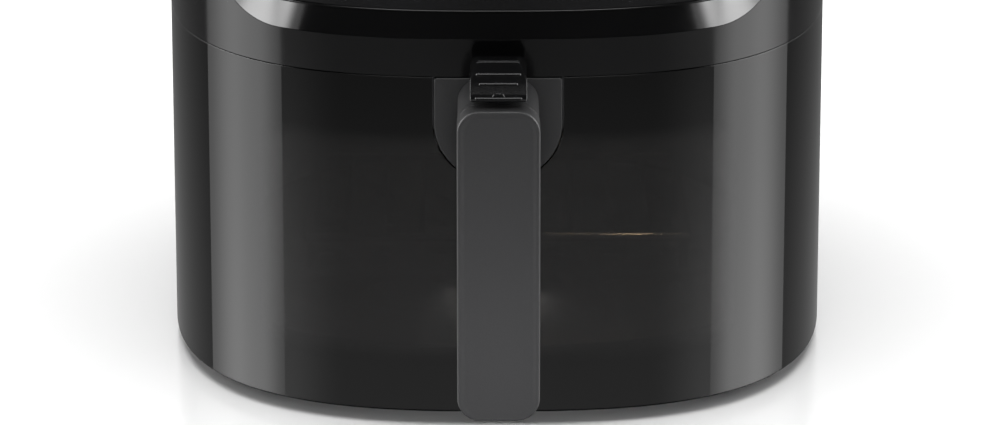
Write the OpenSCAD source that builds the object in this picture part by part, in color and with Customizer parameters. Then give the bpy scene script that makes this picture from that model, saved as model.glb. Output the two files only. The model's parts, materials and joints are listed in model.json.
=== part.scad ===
// Hot-air fryer with a see-through front drawer, a handle with a thumb release and a touch panel.
// Millimetres, +Z up. The front faces -Y. The origin is under the middle of the whole machine,
// on the surface that it stands on. Modules are drawn about the body's own axis, and place()
// moves them to the origin.

/* [Body] */
// Width of the body
body_w = 290; // [260:1:340]
// Depth of the body without handle and rear vent
body_d = 334; // [300:1:390]
// How square the plan outline is: 2 is an ellipse
outline_power = 2.73; // [2.4:0.01:3.2]
// Thickness of the moulded housing wall
wall = 3; // [2:0.5:4]
// Height of the feet under the body
foot_h = 6; // [4:1:12]
// Height of the drawer front
drawer_h = 149; // [130:1:180]
// Height of the head, from the seam to the foot of the top cover
head_h = 141; // [135:1:180]
// Rise of the top cover
cover_h = 22; // [20:1:34]
// Radius of the top cover's rounded edge
cover_edge_r = 18; // [12:1:18]
// How far behind the body's axis the drawer front ends
split_y = 8; // [4:1:14]
// Gap along the seams
seam_gap = 0.8; // [0.4:0.1:1.4]

/* [Control panel] */
// Half width of the recess in the head
recess_hw = 121; // [90:1:124]
// Height of the recess above the seam
recess_rise = 16.3; // [12:0.1:24]
// Height of the recess
recess_h = 116; // [90:1:120]
// Corner radius of the recess
recess_r = 28; // [14:1:36]
// Depth of the recess
recess_depth = 5; // [4:0.5:8]
// Width of the bevel round the touch glass
bevel_w = 10.7; // [6:0.1:14]
// Thickness of the touch glass
panel_glass_t = 2.5; // [2:0.5:4]

/* [Window] */
// Half width of the window
window_hw = 102.5; // [70:0.5:104]
// Lowest edge of the window above the body's bottom edge
window_low = 21.6; // [18:0.1:40]
// Height of the window
window_h = 103.7; // [70:0.1:104]
// Corner radius of the window
window_r = 14; // [6:1:24]
// Thickness of the outer lens
lens_t = 2.5; // [2:0.1:3]
// Thickness of the drawer frame behind the lens
frame_t = 3.5; // [3:0.1:4]
// Thickness of the inner glass
glass_t = 3; // [2.5:0.1:3.4]

/* [Pan] */
// Half width of the pan
pan_hw = 126; // [110:1:126]
// Gap behind the inner glass that the window seal fills
seal_gap = 2.5; // [2:0.1:3.5]
// Reach of the pan behind the body's axis
pan_back = 130; // [100:1:130]
// Sheet thickness of the pan
pan_t = 1.6; // [1:0.1:2]
// Height of the pan's underside above the body's bottom edge
pan_rise = 10; // [9:0.5:14]
// Width of the pan's rim
rim_w = 7; // [5:0.5:8]

/* [Food supports] */
// Height of the crisper plate's underside over the pan's floor
plate_rise = 12.4; // [8:0.1:18]
// Thickness of the crisper plate
plate_t = 1.5; // [1:0.1:3]
// Rows of slots in the crisper plate
plate_rows = 4; // [2:1:5]
// Half length of the wire rack
rack_hx = 84; // [50:1:88]
// Half depth of the wire rack
rack_hy = 62; // [40:1:64]
// Height of the wire rack's legs
rack_leg_h = 24; // [16:1:30]
// Radius of the rack's frame wire
rack_wire_r = 2; // [1.5:0.1:2.5]

/* [Handle] */
// Width of the grip
grip_w = 34.5; // [30:0.5:40]
// Distance of the grip's front face from the body
grip_reach = 50; // [48:1:58]
// Thickness of the grip
grip_t = 21; // [18:1:21]
// Height of the grip's lower end above the body's bottom edge
grip_low = 13.6; // [8:0.1:30]
// Radius of the grip's lower corners
grip_low_r = 9.8; // [5:0.1:14]
// Radius of the grip's upper corners
grip_top_r = 7; // [3:0.1:12]
// Width of the mount plate on the drawer
mount_w = 53.6; // [50:0.1:60]
// Height of the mount plate
mount_h = 44.4; // [43:0.1:60]
// Radius of the mount plate's lower corners
mount_r = 24.6; // [10:0.1:24.9]
// Width of the neck between grip and mount plate
neck_w = 34; // [26:0.5:34]

/* [Latch] */
// Travel of the thumb button
button_travel = 2.4; // [1.5:0.1:2.4]
// Width of the thumb button
button_w = 23.5; // [18:0.5:26]
// Height of the thumb button over the seam
button_rise = 15; // [10:0.5:20]
// Radius of the latch pin
latch_pin_r = 1.5; // [1:0.1:1.8]
// Running clearance of the latch hook on its pin
latch_fit = 0.06; // [0.03:0.01:0.1]

/* [Fan and heater] */
// Radius of the heating chamber
chamber_r = 112; // [100:1:114]
// Height of the heating chamber
chamber_h = 50; // [46:1:54]
// Radius of the outer heater ring
heater_r = 88; // [80:1:92]
// Radius of the heater's tube
heater_tube_r = 3.2; // [2.5:0.1:4]
// Radius of the hot-air fan
hot_fan_r = 60; // [45:1:62]
// Radius of the cooling fan
cool_fan_r = 40; // [30:1:41]
// Blades of each fan
fan_blades = 10; // [6:1:14]
// Radius of the motor shaft
shaft_r = 3; // [2.5:0.1:4]
// Running clearance of the shaft in its bushes
shaft_fit = 0.05; // [0.02:0.01:0.1]

/* [Base and rear] */
// Radius of the rubber feet
foot_r = 11; // [8:0.5:14]
// Half spacing of the feet across the body
foot_x = 95; // [70:1:100]
// Radius of the cable bore in the gland
gland_bore_r = 3.8; // [3:0.1:4.5]

/* [Hidden] */

$fn = 48;
eps = 0.01;
// Clearance where two pieces of one body sit in each other
fit = 0.3;
// Sides of the polygon that stands for the plan outline
outline_sides = 96;

half_w = body_w / 2;
half_d = body_d / 2;
base_z = foot_h;
seam_z = base_z + drawer_h;
cover_z = seam_z + head_h;
body_top = cover_z + cover_h;

// Depths of the drawer front's layers behind the outer surface
frame_out = lens_t + 0.2;
frame_in = frame_out + frame_t;
glass_out = frame_in + 0.2;
glass_in = glass_out + glass_t;
pan_front = glass_in + seal_gap;

window_z = base_z + window_low;
window_top = window_z + window_h;
seal_w = 6;

// The pan's outline is centred behind the front glass
pan_y = -(half_d - pan_front - pan_back) / 2;
pan_hd = (half_d - pan_front + pan_back) / 2;
pan_z = base_z + pan_rise;
rim_t = 1.5;
rim_z = seam_z - 4;
shelf_t = 3;
rail_t = 6.7;
plate_z = pan_z + pan_t + plate_rise;
rack_z = plate_z + plate_t + fit;
rack_top = rack_z + rack_leg_h;

// Recess in the head
recess_z = seam_z + recess_rise;
recess_top = recess_z + recess_h;
bevel_steps = 4;
bevel_step = bevel_w / bevel_steps;
depth_step = recess_depth / bevel_steps;

// Head: floor, chamber and motor share one axis
floor_z = seam_z + 1.2;
floor_t = 2;
chamber_y = -10;
chamber_z = floor_z + floor_t;
shield_t = 1.2;
chamber_top = chamber_z + chamber_h;
opening_r = chamber_r - 4;
heater_z = chamber_z + 10;
inner_ring_r = heater_r - 18;
hot_fan_z = heater_z + 9;
hot_fan_h = 16;
cool_fan_z = chamber_top + 4;
cool_fan_h = 14;
low_bracket_z = cool_fan_z + cool_fan_h + 4;
bracket_t = 2;
stator_z = low_bracket_z + bracket_t + 6;
stator_h = 24;
top_bracket_z = stator_z + stator_h + 4;
bush_r = 6;
bush_h = 5.4;
rotor_r = 14;
post_x = 37;
post_y = 25;
post_r = 2;
stator_x = 84;
stator_y = 60;
slot_w = 10;
shaft_low = hot_fan_z - 5;
shaft_top = top_bracket_z + 6;

// Handle and latch; distances in front of the body are measured from its front face
front_y = -half_d;
grip_y = front_y - grip_reach;
grip_back_y = grip_y + grip_t;
grip_mid_y = grip_y + 11;
grip_z = base_z + grip_low;
grip_top = seam_z - 0.6;
neck_z = seam_z - 37;
neck_top = seam_z - 0.8;
mount_top = seam_z - 0.6;
mount_t = 2.8;
channel_hw = 3.2;
channel_z = seam_z - 18;
channel_top = seam_z - 3.5;
hook_hw = 2;
hook_z = seam_z - 10;
hook_t = 4;
pivot_y = grip_y + 6;
pivot_z = hook_z + hook_t / 2;
hook_end_y = front_y + frame_in + 3.2;
hook_tip_top = seam_z - 0.6;
stem_y = pivot_y + 21;
stem_l = 4;
button_z = grip_top + button_travel + 0.6;
screw_x = 9;
screw_z = seam_z - 11;
screw_r = 2;
spring_y = grip_y + 20;
spring_r = 2.2;
spring_wire_r = 0.35;
spring_turns = 4;

// Rear: vent, intake and gland
vent_hw = 50;
vent_z = seam_z + 10;
vent_h = 42;
vent_depth = 9;
intake_hw = 46;
intake_z = vent_z + vent_h + 16;
intake_h = 48;
gland_z = base_z + 28;
gland_r = 8;
rear_y = half_d + vent_depth;

// The lamp stands beside the fan, where it shines into the pan
lamp_x = 69;
lamp_y = chamber_y - 69;

// Moves the body's axis so that the origin is under the middle of the whole machine
y_shift = -(grip_y + rear_y) / 2;

body_black = [0.06, 0.06, 0.065];
gloss_black = [0.02, 0.02, 0.022];
grip_grey = [0.13, 0.13, 0.135];
steel = [0.72, 0.73, 0.74];
dark_steel = [0.3, 0.3, 0.31];
board_green = [0.05, 0.3, 0.16];
rubber_black = [0.05, 0.05, 0.05];

module place() { translate([0, y_shift, 0]) children(); }

// Superellipse with half axes a and b, as evenly turned rays
function oval(a, b) = [for (i = [0 : outline_sides - 1])
    let (t = 360 * i / outline_sides,
        r = pow(pow(abs(cos(t)) / a, outline_power) + pow(abs(sin(t)) / b, outline_power),
            -1 / outline_power))
    [r * cos(t), r * sin(t)]];

// Rectangle in the front view with round corners: half width, low and high z, and two radii
function round_box(hw, z0, z1, r0, r1) = concat(
    [for (t = [180 : 15 : 270]) [-hw + r0 + r0 * cos(t), z0 + r0 + r0 * sin(t)]],
    [for (t = [270 : 15 : 360]) [hw - r0 + r0 * cos(t), z0 + r0 + r0 * sin(t)]],
    [for (t = [0 : 15 : 90]) [hw - r1 + r1 * cos(t), z1 - r1 + r1 * sin(t)]],
    [for (t = [90 : 15 : 180]) [-hw + r1 + r1 * cos(t), z1 - r1 + r1 * sin(t)]]);

// Prism on the body's outline, set in by a distance
module slab(inset, z0, z1) {
    translate([0, 0, z0]) linear_extrude(z1 - z0) polygon(oval(half_w - inset, half_d - inset));
}

// Wall that follows the body's outline between two insets
module wall_ring(outer, inner, z0, z1) {
    difference() {
        slab(outer, z0, z1);
        slab(inner, z0 - 1, z1 + 1);
    }
}

// Prism on the pan's outline, grown by a distance
module pan_slab(grow, z0, z1) {
    translate([0, pan_y, z0]) linear_extrude(z1 - z0) polygon(oval(pan_hw + grow, pan_hd + grow));
}

// Front-view outline carried along Y
module front_block(points, y0, y1) {
    translate([0, y1, 0]) rotate([90, 0, 0]) linear_extrude(y1 - y0) polygon(points);
}

// Cuboid given by its low and high corners
module span(low, high) { translate(low) cube(high - low); }

module rod_y(x, z, r, y0, y1) { translate([x, y1, z]) rotate([90, 0, 0]) cylinder(r = r, h = y1 - y0); }

module rod_x(y, z, r, x0, x1) { translate([x0, y, z]) rotate([0, 90, 0]) cylinder(r = r, h = x1 - x0); }

module on_axis() { translate([0, chamber_y, 0]) children(); }

module tube_ring(ring_r, tube_r) { rotate_extrude() translate([ring_r, 0]) circle(r = tube_r); }

// Everything in front of the drawer's rear edge
module front_half(z0, z1) { span([-body_w, -body_d, z0], [body_w, split_y, z1]); }

module recess_block(inset, y0) {
    front_block(round_box(recess_hw - inset, recess_z + inset, recess_top - inset,
        recess_r - inset, recess_r - inset), y0, -half_d / 3);
}

module window_block(grow, y0, y1) {
    front_block(round_box(window_hw + grow, window_z - grow, window_top + grow,
        window_r + grow, window_r + grow), y0, y1);
}

module mount_outline_block(grow, y0, y1) {
    front_block(round_box(mount_w / 2 + grow, mount_top - mount_h - grow, mount_top + 2 * grow,
        mount_r + grow, 1), y0, y1);
}

// Places of the two handle screws, and of the four motor posts
module at_handle_screws() { for (x = [-screw_x, screw_x]) translate([x, 0, 0]) children(); }

module at_posts() { for (x = [-post_x, post_x], y = [-post_y, post_y]) translate([x, y, 0]) children(); }

foot_places = [[-foot_x, -95], [foot_x, -95], [-foot_x, 100], [foot_x, 100]];

// ---- Housing ----

board_x = -half_w + 19;
board_y = [-26, 54];
board_z = [seam_z + 62, seam_z + 126];

module housing_shell() color(body_black) place() difference() {
    union() {
        wall_ring(0, wall, base_z, cover_z);
        // Bosses that carry the power board
        intersection() {
            for (y = [board_y[0] + 8, board_y[1] - 8], z = [board_z[0] + 8, board_z[1] - 8])
                rod_x(y, z, 3.5, -half_w, board_x - 1.6);
            slab(wall / 2, base_z, cover_z);
        }
    }
    span([-body_w, -body_d, base_z - 1], [body_w, split_y + seam_gap, seam_z]);
    recess_block(0, -body_d);
    front_block(round_box(vent_hw + fit, vent_z - fit, vent_z + vent_h + fit, 3, 3),
        half_d - 20, half_d + 5);
    front_block(round_box(intake_hw + fit, intake_z - fit, intake_z + intake_h + fit, 3, 3),
        half_d - 20, half_d + 5);
    rod_y(0, gland_z, gland_r + 0.05, half_d - 20, half_d + 5);
}

// Rings of the top cover, from the middle of its underside, out, round the edge and up
cover_arc = [for (i = [0 : 5]) i * 18];
function cover_ring(inset, z) = [for (p = oval(half_w - inset, half_d - inset)) [p[0], p[1], z]];
cover_rise = cover_h - cover_edge_r;
cover_rings = concat(
    [for (k = [0.3, 0.6]) cover_ring(half_w * (1 - k), body_top - wall - cover_rise * k * k / 2)],
    [for (i = [5 : -1 : 0]) cover_ring(wall + (cover_edge_r - wall) * (1 - cos(cover_arc[i])),
        cover_z + 1 + (cover_edge_r - wall) * sin(cover_arc[i]))],
    [cover_ring(wall, cover_z), cover_ring(0, cover_z)],
    [for (i = [0 : 5]) cover_ring(cover_edge_r * (1 - cos(cover_arc[i])),
        cover_z + 1 + cover_edge_r * sin(cover_arc[i]))],
    [for (k = [0.6, 0.3]) cover_ring(half_w * (1 - k), body_top - cover_rise * k * k / 2)]);

// Closed skin over a list of rings that all have the same number of points
module ring_loft(rings) {
    n = len(rings[0]);
    m = len(rings);
    points = [for (ring = rings) each ring];
    sides = [for (j = [0 : m - 2], i = [0 : n - 1])
        let (k = (i + 1) % n) each [
            [j * n + i, (j + 1) * n + i, (j + 1) * n + k], [j * n + i, (j + 1) * n + k, j * n + k]]];
    caps = [[for (i = [0 : n - 1]) i], [for (i = [n - 1 : -1 : 0]) (m - 1) * n + i]];
    polyhedron(points, concat(sides, caps));
}

module top_cover() color(body_black) place() ring_loft(cover_rings);

// Frame round the touch glass, whose bevel is made in steps
module panel_bezel() color(gloss_black) place() for (i = [0 : bevel_steps - 1]) {
    difference() {
        intersection() {
            wall_ring(i * depth_step, (i + 1) * depth_step, recess_z, recess_top);
            recess_block(fit, -body_d);
        }
        recess_block((i + 0.6) * bevel_step, -body_d);
    }
}

module panel_glass() color(gloss_black) place() intersection() {
    wall_ring(recess_depth, recess_depth + panel_glass_t, recess_z, recess_top);
    recess_block(bevel_step, -body_d);
}

carrier_in = recess_depth + panel_glass_t + 2.5;
display_y = -half_d + 30;
display_hx = 68;

module panel_carrier() color(body_black) place() {
    intersection() {
        wall_ring(recess_depth + panel_glass_t + eps, carrier_in, recess_z - 4, recess_top + 4);
        recess_block(0, -body_d);
    }
    intersection() {
        for (x = [-55, 55], z = [recess_z + 32, recess_top - 32]) rod_y(x, z, 3.5, -half_d, display_y);
        slab(carrier_in - 1, 0, body_top);
    }
}

module display_board() color(board_green) place() {
    span([-display_hx, display_y, recess_z + 24], [display_hx, display_y + 1.6, recess_top - 24]);
    for (x = [-36, 0, 36])
        span([x - 12, display_y + 1.6 - eps, recess_z + 44], [x + 12, display_y + 5, recess_z + 60]);
}

module base_plate() color(body_black) place() difference() {
    union() {
        slab(frame_in + 1.8, base_z, base_z + 4);
        intersection() {
            slab(wall + fit, base_z, base_z + 4);
            span([-body_w, split_y + seam_gap + fit, 0], [body_w, body_d, body_top]);
        }
        for (p = foot_places) translate([p[0], p[1], base_z]) cylinder(r = 6, h = 8);
    }
    for (p = foot_places) translate([p[0], p[1], base_z - 1]) cylinder(r = screw_r, h = 8.5);
}

module rubber_feet() color(rubber_black) place() for (p = foot_places) translate([p[0], p[1], 0])
    difference() {
        union() {
            cylinder(r1 = foot_r - 1, r2 = foot_r, h = 1);
            translate([0, 0, 1 - eps]) cylinder(r = foot_r, h = foot_h - 1 + eps);
        }
        translate([0, 0, -1]) cylinder(r = screw_r, h = foot_h + 2);
        translate([0, 0, -1]) cylinder(r = 2 * screw_r, h = foot_h / 2 + 1);
    }

module foot_screws() color(steel) place() for (p = foot_places) translate([p[0], p[1], 0]) {
    translate([0, 0, foot_h / 2 - 2]) cylinder(r = 2 * screw_r - 0.2, h = 2);
    translate([0, 0, foot_h / 2 - eps]) cylinder(r = screw_r - 0.02, h = foot_h / 2 + 7);
}

strike_hw = 6;

module head_floor() color(dark_steel) place() difference() {
    slab(wall + fit, floor_z, floor_z + floor_t);
    on_axis() translate([0, 0, floor_z - 1]) cylinder(r = opening_r, h = floor_t + 2);
    span([-strike_hw - fit, -body_d, floor_z - 1], [strike_hw + fit, front_y + 6.8, floor_z + 4]);
    translate([switch_x, switch_y, floor_z - 1]) cylinder(r = 2, h = floor_t + 2);
}

module inner_liner() color(dark_steel) place() intersection() {
    difference() {
        pan_slab(rim_w + 2, base_z + 4, floor_z - 0.2);
        pan_slab(rim_w + 1, base_z, floor_z + 1);
    }
    span([-body_w, split_y + seam_gap + fit, 0], [body_w, body_d, body_top]);
}

module side_rails() color(steel) place() intersection() {
    difference() {
        pan_slab(rim_w + 1 - eps, rim_z - fit - rail_t, rim_z - fit);
        pan_slab(1.6, base_z, seam_z);
    }
    union() for (side = [-1, 1]) scale([side, 1, 1])
        span([pan_hw / 3, split_y + 4, 0], [body_w, pan_back - 12, body_top]);
}

// ---- Heating chamber ----

duct_hw = 40;
duct_z = chamber_z + 14;
duct_h = 28;
duct_t = 1.2;

module chamber_cut(r) { on_axis() translate([0, 0, base_z]) cylinder(r = r, h = body_top); }

module heat_shield() color(steel) place() difference() {
    on_axis() union() {
        translate([0, 0, chamber_z]) cylinder(r = chamber_r + 6, h = shield_t);
        translate([0, 0, chamber_z]) cylinder(r = chamber_r, h = chamber_h);
    }
    on_axis() translate([0, 0, chamber_z - 1]) cylinder(r = chamber_r - shield_t, h = chamber_h + 1 - shield_t);
    on_axis() translate([0, 0, chamber_top - 5]) cylinder(r = shaft_r + 5, h = 10);
    on_axis() for (y = [-12, 12]) rod_x(y, heater_z, heater_tube_r + 0.4, -chamber_r - 5, -chamber_r + 20);
    translate([lamp_x, lamp_y, chamber_top - 5]) cylinder(r = 7, h = 10);
    span([-duct_hw + duct_t, chamber_y, duct_z + duct_t],
        [duct_hw - duct_t, chamber_y + chamber_r + 2, duct_z + duct_h - duct_t]);
}

module heating_element() color(dark_steel) place() on_axis() {
    translate([0, 0, heater_z]) tube_ring(heater_r, heater_tube_r);
    translate([0, 0, heater_z]) tube_ring(inner_ring_r, heater_tube_r);
    rod_x(0, heater_z, 0.8 * heater_tube_r, inner_ring_r, heater_r);
    for (y = [-12, 12]) rod_x(y, heater_z, 0.8 * heater_tube_r, -chamber_r - 12, -heater_r + 2);
}

module element_brackets() color(steel) place() on_axis() for (a = [60, 180, 300]) rotate([0, 0, a]) {
    mid = (heater_r + inner_ring_r) / 2;
    low = heater_z - heater_tube_r - fit;
    span([mid - 1.5, -3, low - 2], [mid + 1.5, 3, chamber_top - shield_t]);
    span([inner_ring_r - 5, -3, low - 2], [heater_r + 5, 3, low]);
}

guard_r = 1.1;

module element_guard() color(steel) place() on_axis() translate([0, 0, floor_z + floor_t / 2]) {
    for (r = [28 : 19.5 : opening_r - guard_r - fit]) tube_ring(r, guard_r);
    tube_ring(opening_r - guard_r - fit, guard_r);
    for (a = [30, 90, 150]) rotate([0, 0, a])
        rod_x(0, 0, 0.8 * guard_r, -opening_r + guard_r + fit, opening_r - guard_r - fit);
}

// ---- Fan motor ----

module motor_stator() color(dark_steel) place() on_axis() difference() {
    span([-stator_x / 2, -stator_y / 2, stator_z], [stator_x / 2, stator_y / 2, stator_z + stator_h]);
    translate([0, 0, stator_z - 1]) cylinder(r = rotor_r + 0.6, h = stator_h + 2);
    for (x = [-1, 1], y = [-1, 1])
        span([x * 21 - slot_w / 2, y * 18 - slot_w / 2, stator_z - 1],
            [x * 21 + slot_w / 2, y * 18 + slot_w / 2, stator_z + stator_h + 1]);
    at_posts() translate([0, 0, stator_z - 1]) cylinder(r = post_r, h = stator_h + 2);
}

module motor_windings() color([0.72, 0.38, 0.18]) place() on_axis() for (x = [-1, 1], y = [-1, 1])
    span([x * 21 - slot_w / 2 + 0.2, y * 18 - slot_w / 2 + 0.2, stator_z - 3],
        [x * 21 + slot_w / 2 - 0.2, y * 18 + slot_w / 2 - 0.2, stator_z + stator_h + 3]);

module motor_bracket(z) {
    difference() {
        span([-stator_x / 2, -stator_y / 2, z], [stator_x / 2, stator_y / 2, z + bracket_t]);
        translate([0, 0, z - 1]) cylinder(r = bush_r, h = bracket_t + 2);
        at_posts() translate([0, 0, z - 1]) cylinder(r = post_r, h = bracket_t + 2);
    }
}

module motor_brackets() color(steel) place() on_axis() {
    motor_bracket(low_bracket_z);
    motor_bracket(top_bracket_z);
}

module shaft_bushes() color([0.72, 0.55, 0.3]) place() on_axis()
    for (z = [low_bracket_z - 1, top_bracket_z - 1]) translate([0, 0, z]) difference() {
        cylinder(r = bush_r - 0.02, h = bush_h);
        translate([0, 0, -1]) cylinder(r = shaft_r + shaft_fit, h = bush_h + 2);
    }

module motor_posts() color(steel) place() on_axis() at_posts() {
    translate([0, 0, chamber_top]) cylinder(r = post_r - 0.02, h = top_bracket_z + bracket_t - chamber_top + eps);
    translate([0, 0, chamber_top]) cylinder(r = 2 * post_r, h = low_bracket_z - chamber_top);
    translate([0, 0, low_bracket_z + bracket_t]) cylinder(r = 2 * post_r, h = stator_z - low_bracket_z - bracket_t);
    translate([0, 0, stator_z + stator_h])
        cylinder(r = 2 * post_r, h = top_bracket_z - stator_z - stator_h);
    translate([0, 0, top_bracket_z + bracket_t]) cylinder(r = 2 * post_r, h = 3);
}

module motor_shaft() color(steel) place() on_axis()
    translate([0, 0, shaft_low]) cylinder(r = shaft_r, h = shaft_top - shaft_low);

module rotor_core() color(dark_steel) place() on_axis() translate([0, 0, stator_z]) difference() {
    cylinder(r = rotor_r, h = stator_h);
    translate([0, 0, -1]) cylinder(r = shaft_r, h = stator_h + 2);
}

// Radial-blade fan: a hub, a disc on one side and straight blades
module radial_fan(r, h, disc_z) {
    hub_r = 9;
    difference() {
        union() {
            cylinder(r = hub_r, h = h);
            translate([0, 0, disc_z]) cylinder(r = r, h = 1.2);
            for (i = [0 : fan_blades - 1]) rotate([0, 0, 360 * i / fan_blades])
                span([hub_r - 1, -0.6, 0], [r - 1, 0.6, h]);
        }
        translate([0, 0, -1]) cylinder(r = shaft_r, h = h + 2);
    }
}

module hot_fan() color(steel) place() on_axis() translate([0, 0, hot_fan_z])
    radial_fan(hot_fan_r, hot_fan_h, hot_fan_h - 1.2);

module cooling_fan() color(dark_steel) place() on_axis() translate([0, 0, cool_fan_z])
    radial_fan(cool_fan_r, cool_fan_h, 0);

module fan_nut() color(steel) place() on_axis() translate([0, 0, hot_fan_z - 4]) difference() {
    cylinder(r = 6, h = 4, $fn = 6);
    translate([0, 0, -1]) cylinder(r = shaft_r, h = 6, $fn = 48);
}

// ---- Sensors, electronics and lamp ----

module temperature_sensor() color(steel) place()
    translate([-66, chamber_y + 62, chamber_top - shield_t - 17]) cylinder(r = 2.5, h = 17);

module thermal_cutout() color([0.85, 0.83, 0.78]) place() translate([62, chamber_y + 42, chamber_top]) {
    cylinder(r = 9, h = 7);
    for (x = [-4, 4]) span([x - 2, -0.4, 6.5], [x + 2, 0.4, 16]);
}

module power_board() color(board_green) place()
    span([board_x - 1.6, board_y[0], board_z[0]], [board_x, board_y[1], board_z[1]]);

module board_parts() color([0.12, 0.12, 0.14]) place() {
    span([board_x, board_y[0] + 6, board_z[0] + 8], [board_x + 22, board_y[0] + 34, board_z[0] + 34]);
    span([board_x, board_y[0] + 44, board_z[0] + 8], [board_x + 16, board_y[0] + 58, board_z[0] + 34]);
    rod_x(board_y[0] + 18, board_z[1] - 15, 9, board_x, board_x + 24);
    rod_x(board_y[0] + 46, board_z[1] - 13, 6, board_x, board_x + 14);
}

module lamp_holder() color([0.85, 0.83, 0.78]) place() translate([lamp_x, lamp_y, chamber_top])
    difference() {
        cylinder(r = 11, h = 20);
        translate([0, 0, -1]) cylinder(r = 5, h = 9);
    }

module lamp_bulb() color([1, 0.93, 0.8]) place() translate([lamp_x, lamp_y, chamber_top - 16]) {
    sphere(r = 5);
    cylinder(r = 4.98, h = 23);
}

module lamp_cover() color([0.85, 0.9, 0.95]) place()
    translate([lamp_x, lamp_y, chamber_top - shield_t - 22]) difference() {
        cylinder(r = 9.5, h = 22);
        translate([0, 0, 1.2]) cylinder(r = 8.3, h = 22);
    }

// ---- Air path, gland, switch and strike ----

module air_duct() color(dark_steel) place() difference() {
    span([-duct_hw, chamber_y, duct_z], [duct_hw, half_d - 7.3, duct_z + duct_h]);
    span([-duct_hw + duct_t, chamber_y - 1, duct_z + duct_t],
        [duct_hw - duct_t, body_d, duct_z + duct_h - duct_t]);
    chamber_cut(chamber_r + 0.05);
}

module louvre_insert(hw, z, h, slats, depth) {
    y0 = half_d - 7;
    difference() {
        front_block(round_box(hw, z, z + h, 3, 3), y0, half_d + depth);
        front_block(round_box(hw - 3, z + 3, z + h - 3, 2, 2), y0 - 1, half_d + depth + 1);
    }
    pitch = (h - 6) / (slats + 1);
    for (i = [1 : slats]) translate([0, half_d + depth - 7, z + 3 + i * pitch]) rotate([-35, 0, 0])
        span([-hw + 2.5, -5, -0.8], [hw - 2.5, 5, 0.8]);
}

module rear_vent() color(body_black) place() louvre_insert(vent_hw, vent_z, vent_h, 5, vent_depth);

module intake_grille() color(body_black) place() louvre_insert(intake_hw, intake_z, intake_h, 6, 2);

module cord_gland() color(rubber_black) place() difference() {
    union() {
        rod_y(0, gland_z, gland_r, half_d - 9, half_d + 7);
        rod_y(0, gland_z, gland_r + 3, half_d, half_d + 3);
        rod_y(0, gland_z, gland_r + 3, half_d - wall - 4, half_d - wall - fit);
    }
    rod_y(0, gland_z, gland_bore_r, half_d - 12, half_d + 10);
}

switch_x = 88;
switch_y = -106;

module drawer_switch() color([0.2, 0.2, 0.22]) place() {
    span([switch_x - 10, switch_y - 4, floor_z + floor_t], [switch_x + 10, switch_y + 4, floor_z + 14]);
    translate([switch_x, switch_y, seam_z + 0.5]) cylinder(r = 1.5, h = floor_z + floor_t - seam_z);
}

module latch_strike() color(steel) place() {
    span([-10, front_y + 7, chamber_z], [10, front_y + 27, chamber_z + 1.6]);
    span([-strike_hw, front_y + 3.8, chamber_z], [strike_hw, front_y + 7 + eps, chamber_z + 1.6]);
    span([-strike_hw, front_y + 3.8, seam_z + 0.5], [strike_hw, front_y + 5.4, chamber_z + eps]);
}

// ---- Drawer ----

drawer_top = seam_z - seam_gap / 2;

module front_lens() color([0.03, 0.03, 0.035, 0.8]) place() difference() {
    intersection() {
        wall_ring(0, lens_t, base_z, drawer_top);
        front_half(0, body_top);
    }
    mount_outline_block(0.5, -body_d, -half_d / 2);
}

// Cut for the latch hook through everything at the top of the drawer
module latch_cut(y0, y1, top) { span([-channel_hw, y0, channel_z], [channel_hw, y1, top]); }

module drawer_frame() color(body_black) place() difference() {
    intersection() {
        union() {
            wall_ring(frame_out, frame_in, base_z + 1, drawer_top);
            difference() {
                slab(frame_in - 0.5, rim_z - shelf_t, rim_z);
                pan_slab(0.5, 0, body_top);
            }
        }
        front_half(0, body_top);
    }
    window_block(0, -body_d, -half_d / 3);
    latch_cut(-body_d, front_y + frame_in + eps, channel_top);
    span([-channel_hw, front_y + frame_in, rim_z - shelf_t - 1], [channel_hw, front_y + pan_front, body_top]);
    at_handle_screws() rod_y(0, screw_z, screw_r, -body_d, -half_d / 2);
}

module inner_glass() color([0.6, 0.65, 0.7, 0.35]) place() intersection() {
    wall_ring(glass_out, glass_in, window_z - seal_w, window_top + seal_w);
    window_block(seal_w, -body_d, -half_d / 3);
}

module window_seal() color(rubber_black) place() difference() {
    intersection() {
        slab(glass_in + 0.1, window_z - seal_w, window_top + seal_w);
        window_block(seal_w, -body_d, -half_d / 3);
    }
    pan_slab(0.1, 0, body_top);
    window_block(0, -body_d, 0);
}

module drawer_pan() color(dark_steel) place() difference() {
    union() {
        pan_slab(0, pan_z, rim_z + rim_t);
        intersection() {
            pan_slab(rim_w, rim_z, rim_z + rim_t);
            slab(frame_in + fit, rim_z, rim_z + rim_t);
        }
    }
    pan_slab(-pan_t, pan_z + pan_t, body_top);
    window_block(0, -body_d, pan_y - pan_hd / 3);
    span([-channel_hw - 1.5, -body_d, rim_z - 1], [channel_hw + 1.5, front_y + pan_front, body_top]);
}

module handle_mount() color(grip_grey) place() difference() {
    mount_outline_block(0, front_y - 0.3, front_y + frame_out - 0.05);
    latch_cut(-body_d, 0, channel_top);
    at_handle_screws() rod_y(0, screw_z, screw_r, -body_d, 0);
}

bracket_hw = 6;
bracket_arm_z = neck_z + 9;

module handle_bracket() color(steel) place() {
    span([-bracket_hw, grip_mid_y - 2, grip_z + 14], [bracket_hw, grip_mid_y + 2, channel_z - 4]);
    span([-bracket_hw, grip_mid_y, bracket_arm_z], [bracket_hw, front_y - 2, bracket_arm_z + 4]);
}

module bracket_cut() {
    span([-bracket_hw - fit, grip_mid_y - 2 - fit, grip_z + 14 - fit],
        [bracket_hw + fit, grip_mid_y + 2 + fit, channel_z - 4 + fit]);
    span([-bracket_hw - fit, grip_mid_y, bracket_arm_z - fit],
        [bracket_hw + fit, front_y - 1, bracket_arm_z + 4 + fit]);
}

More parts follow.
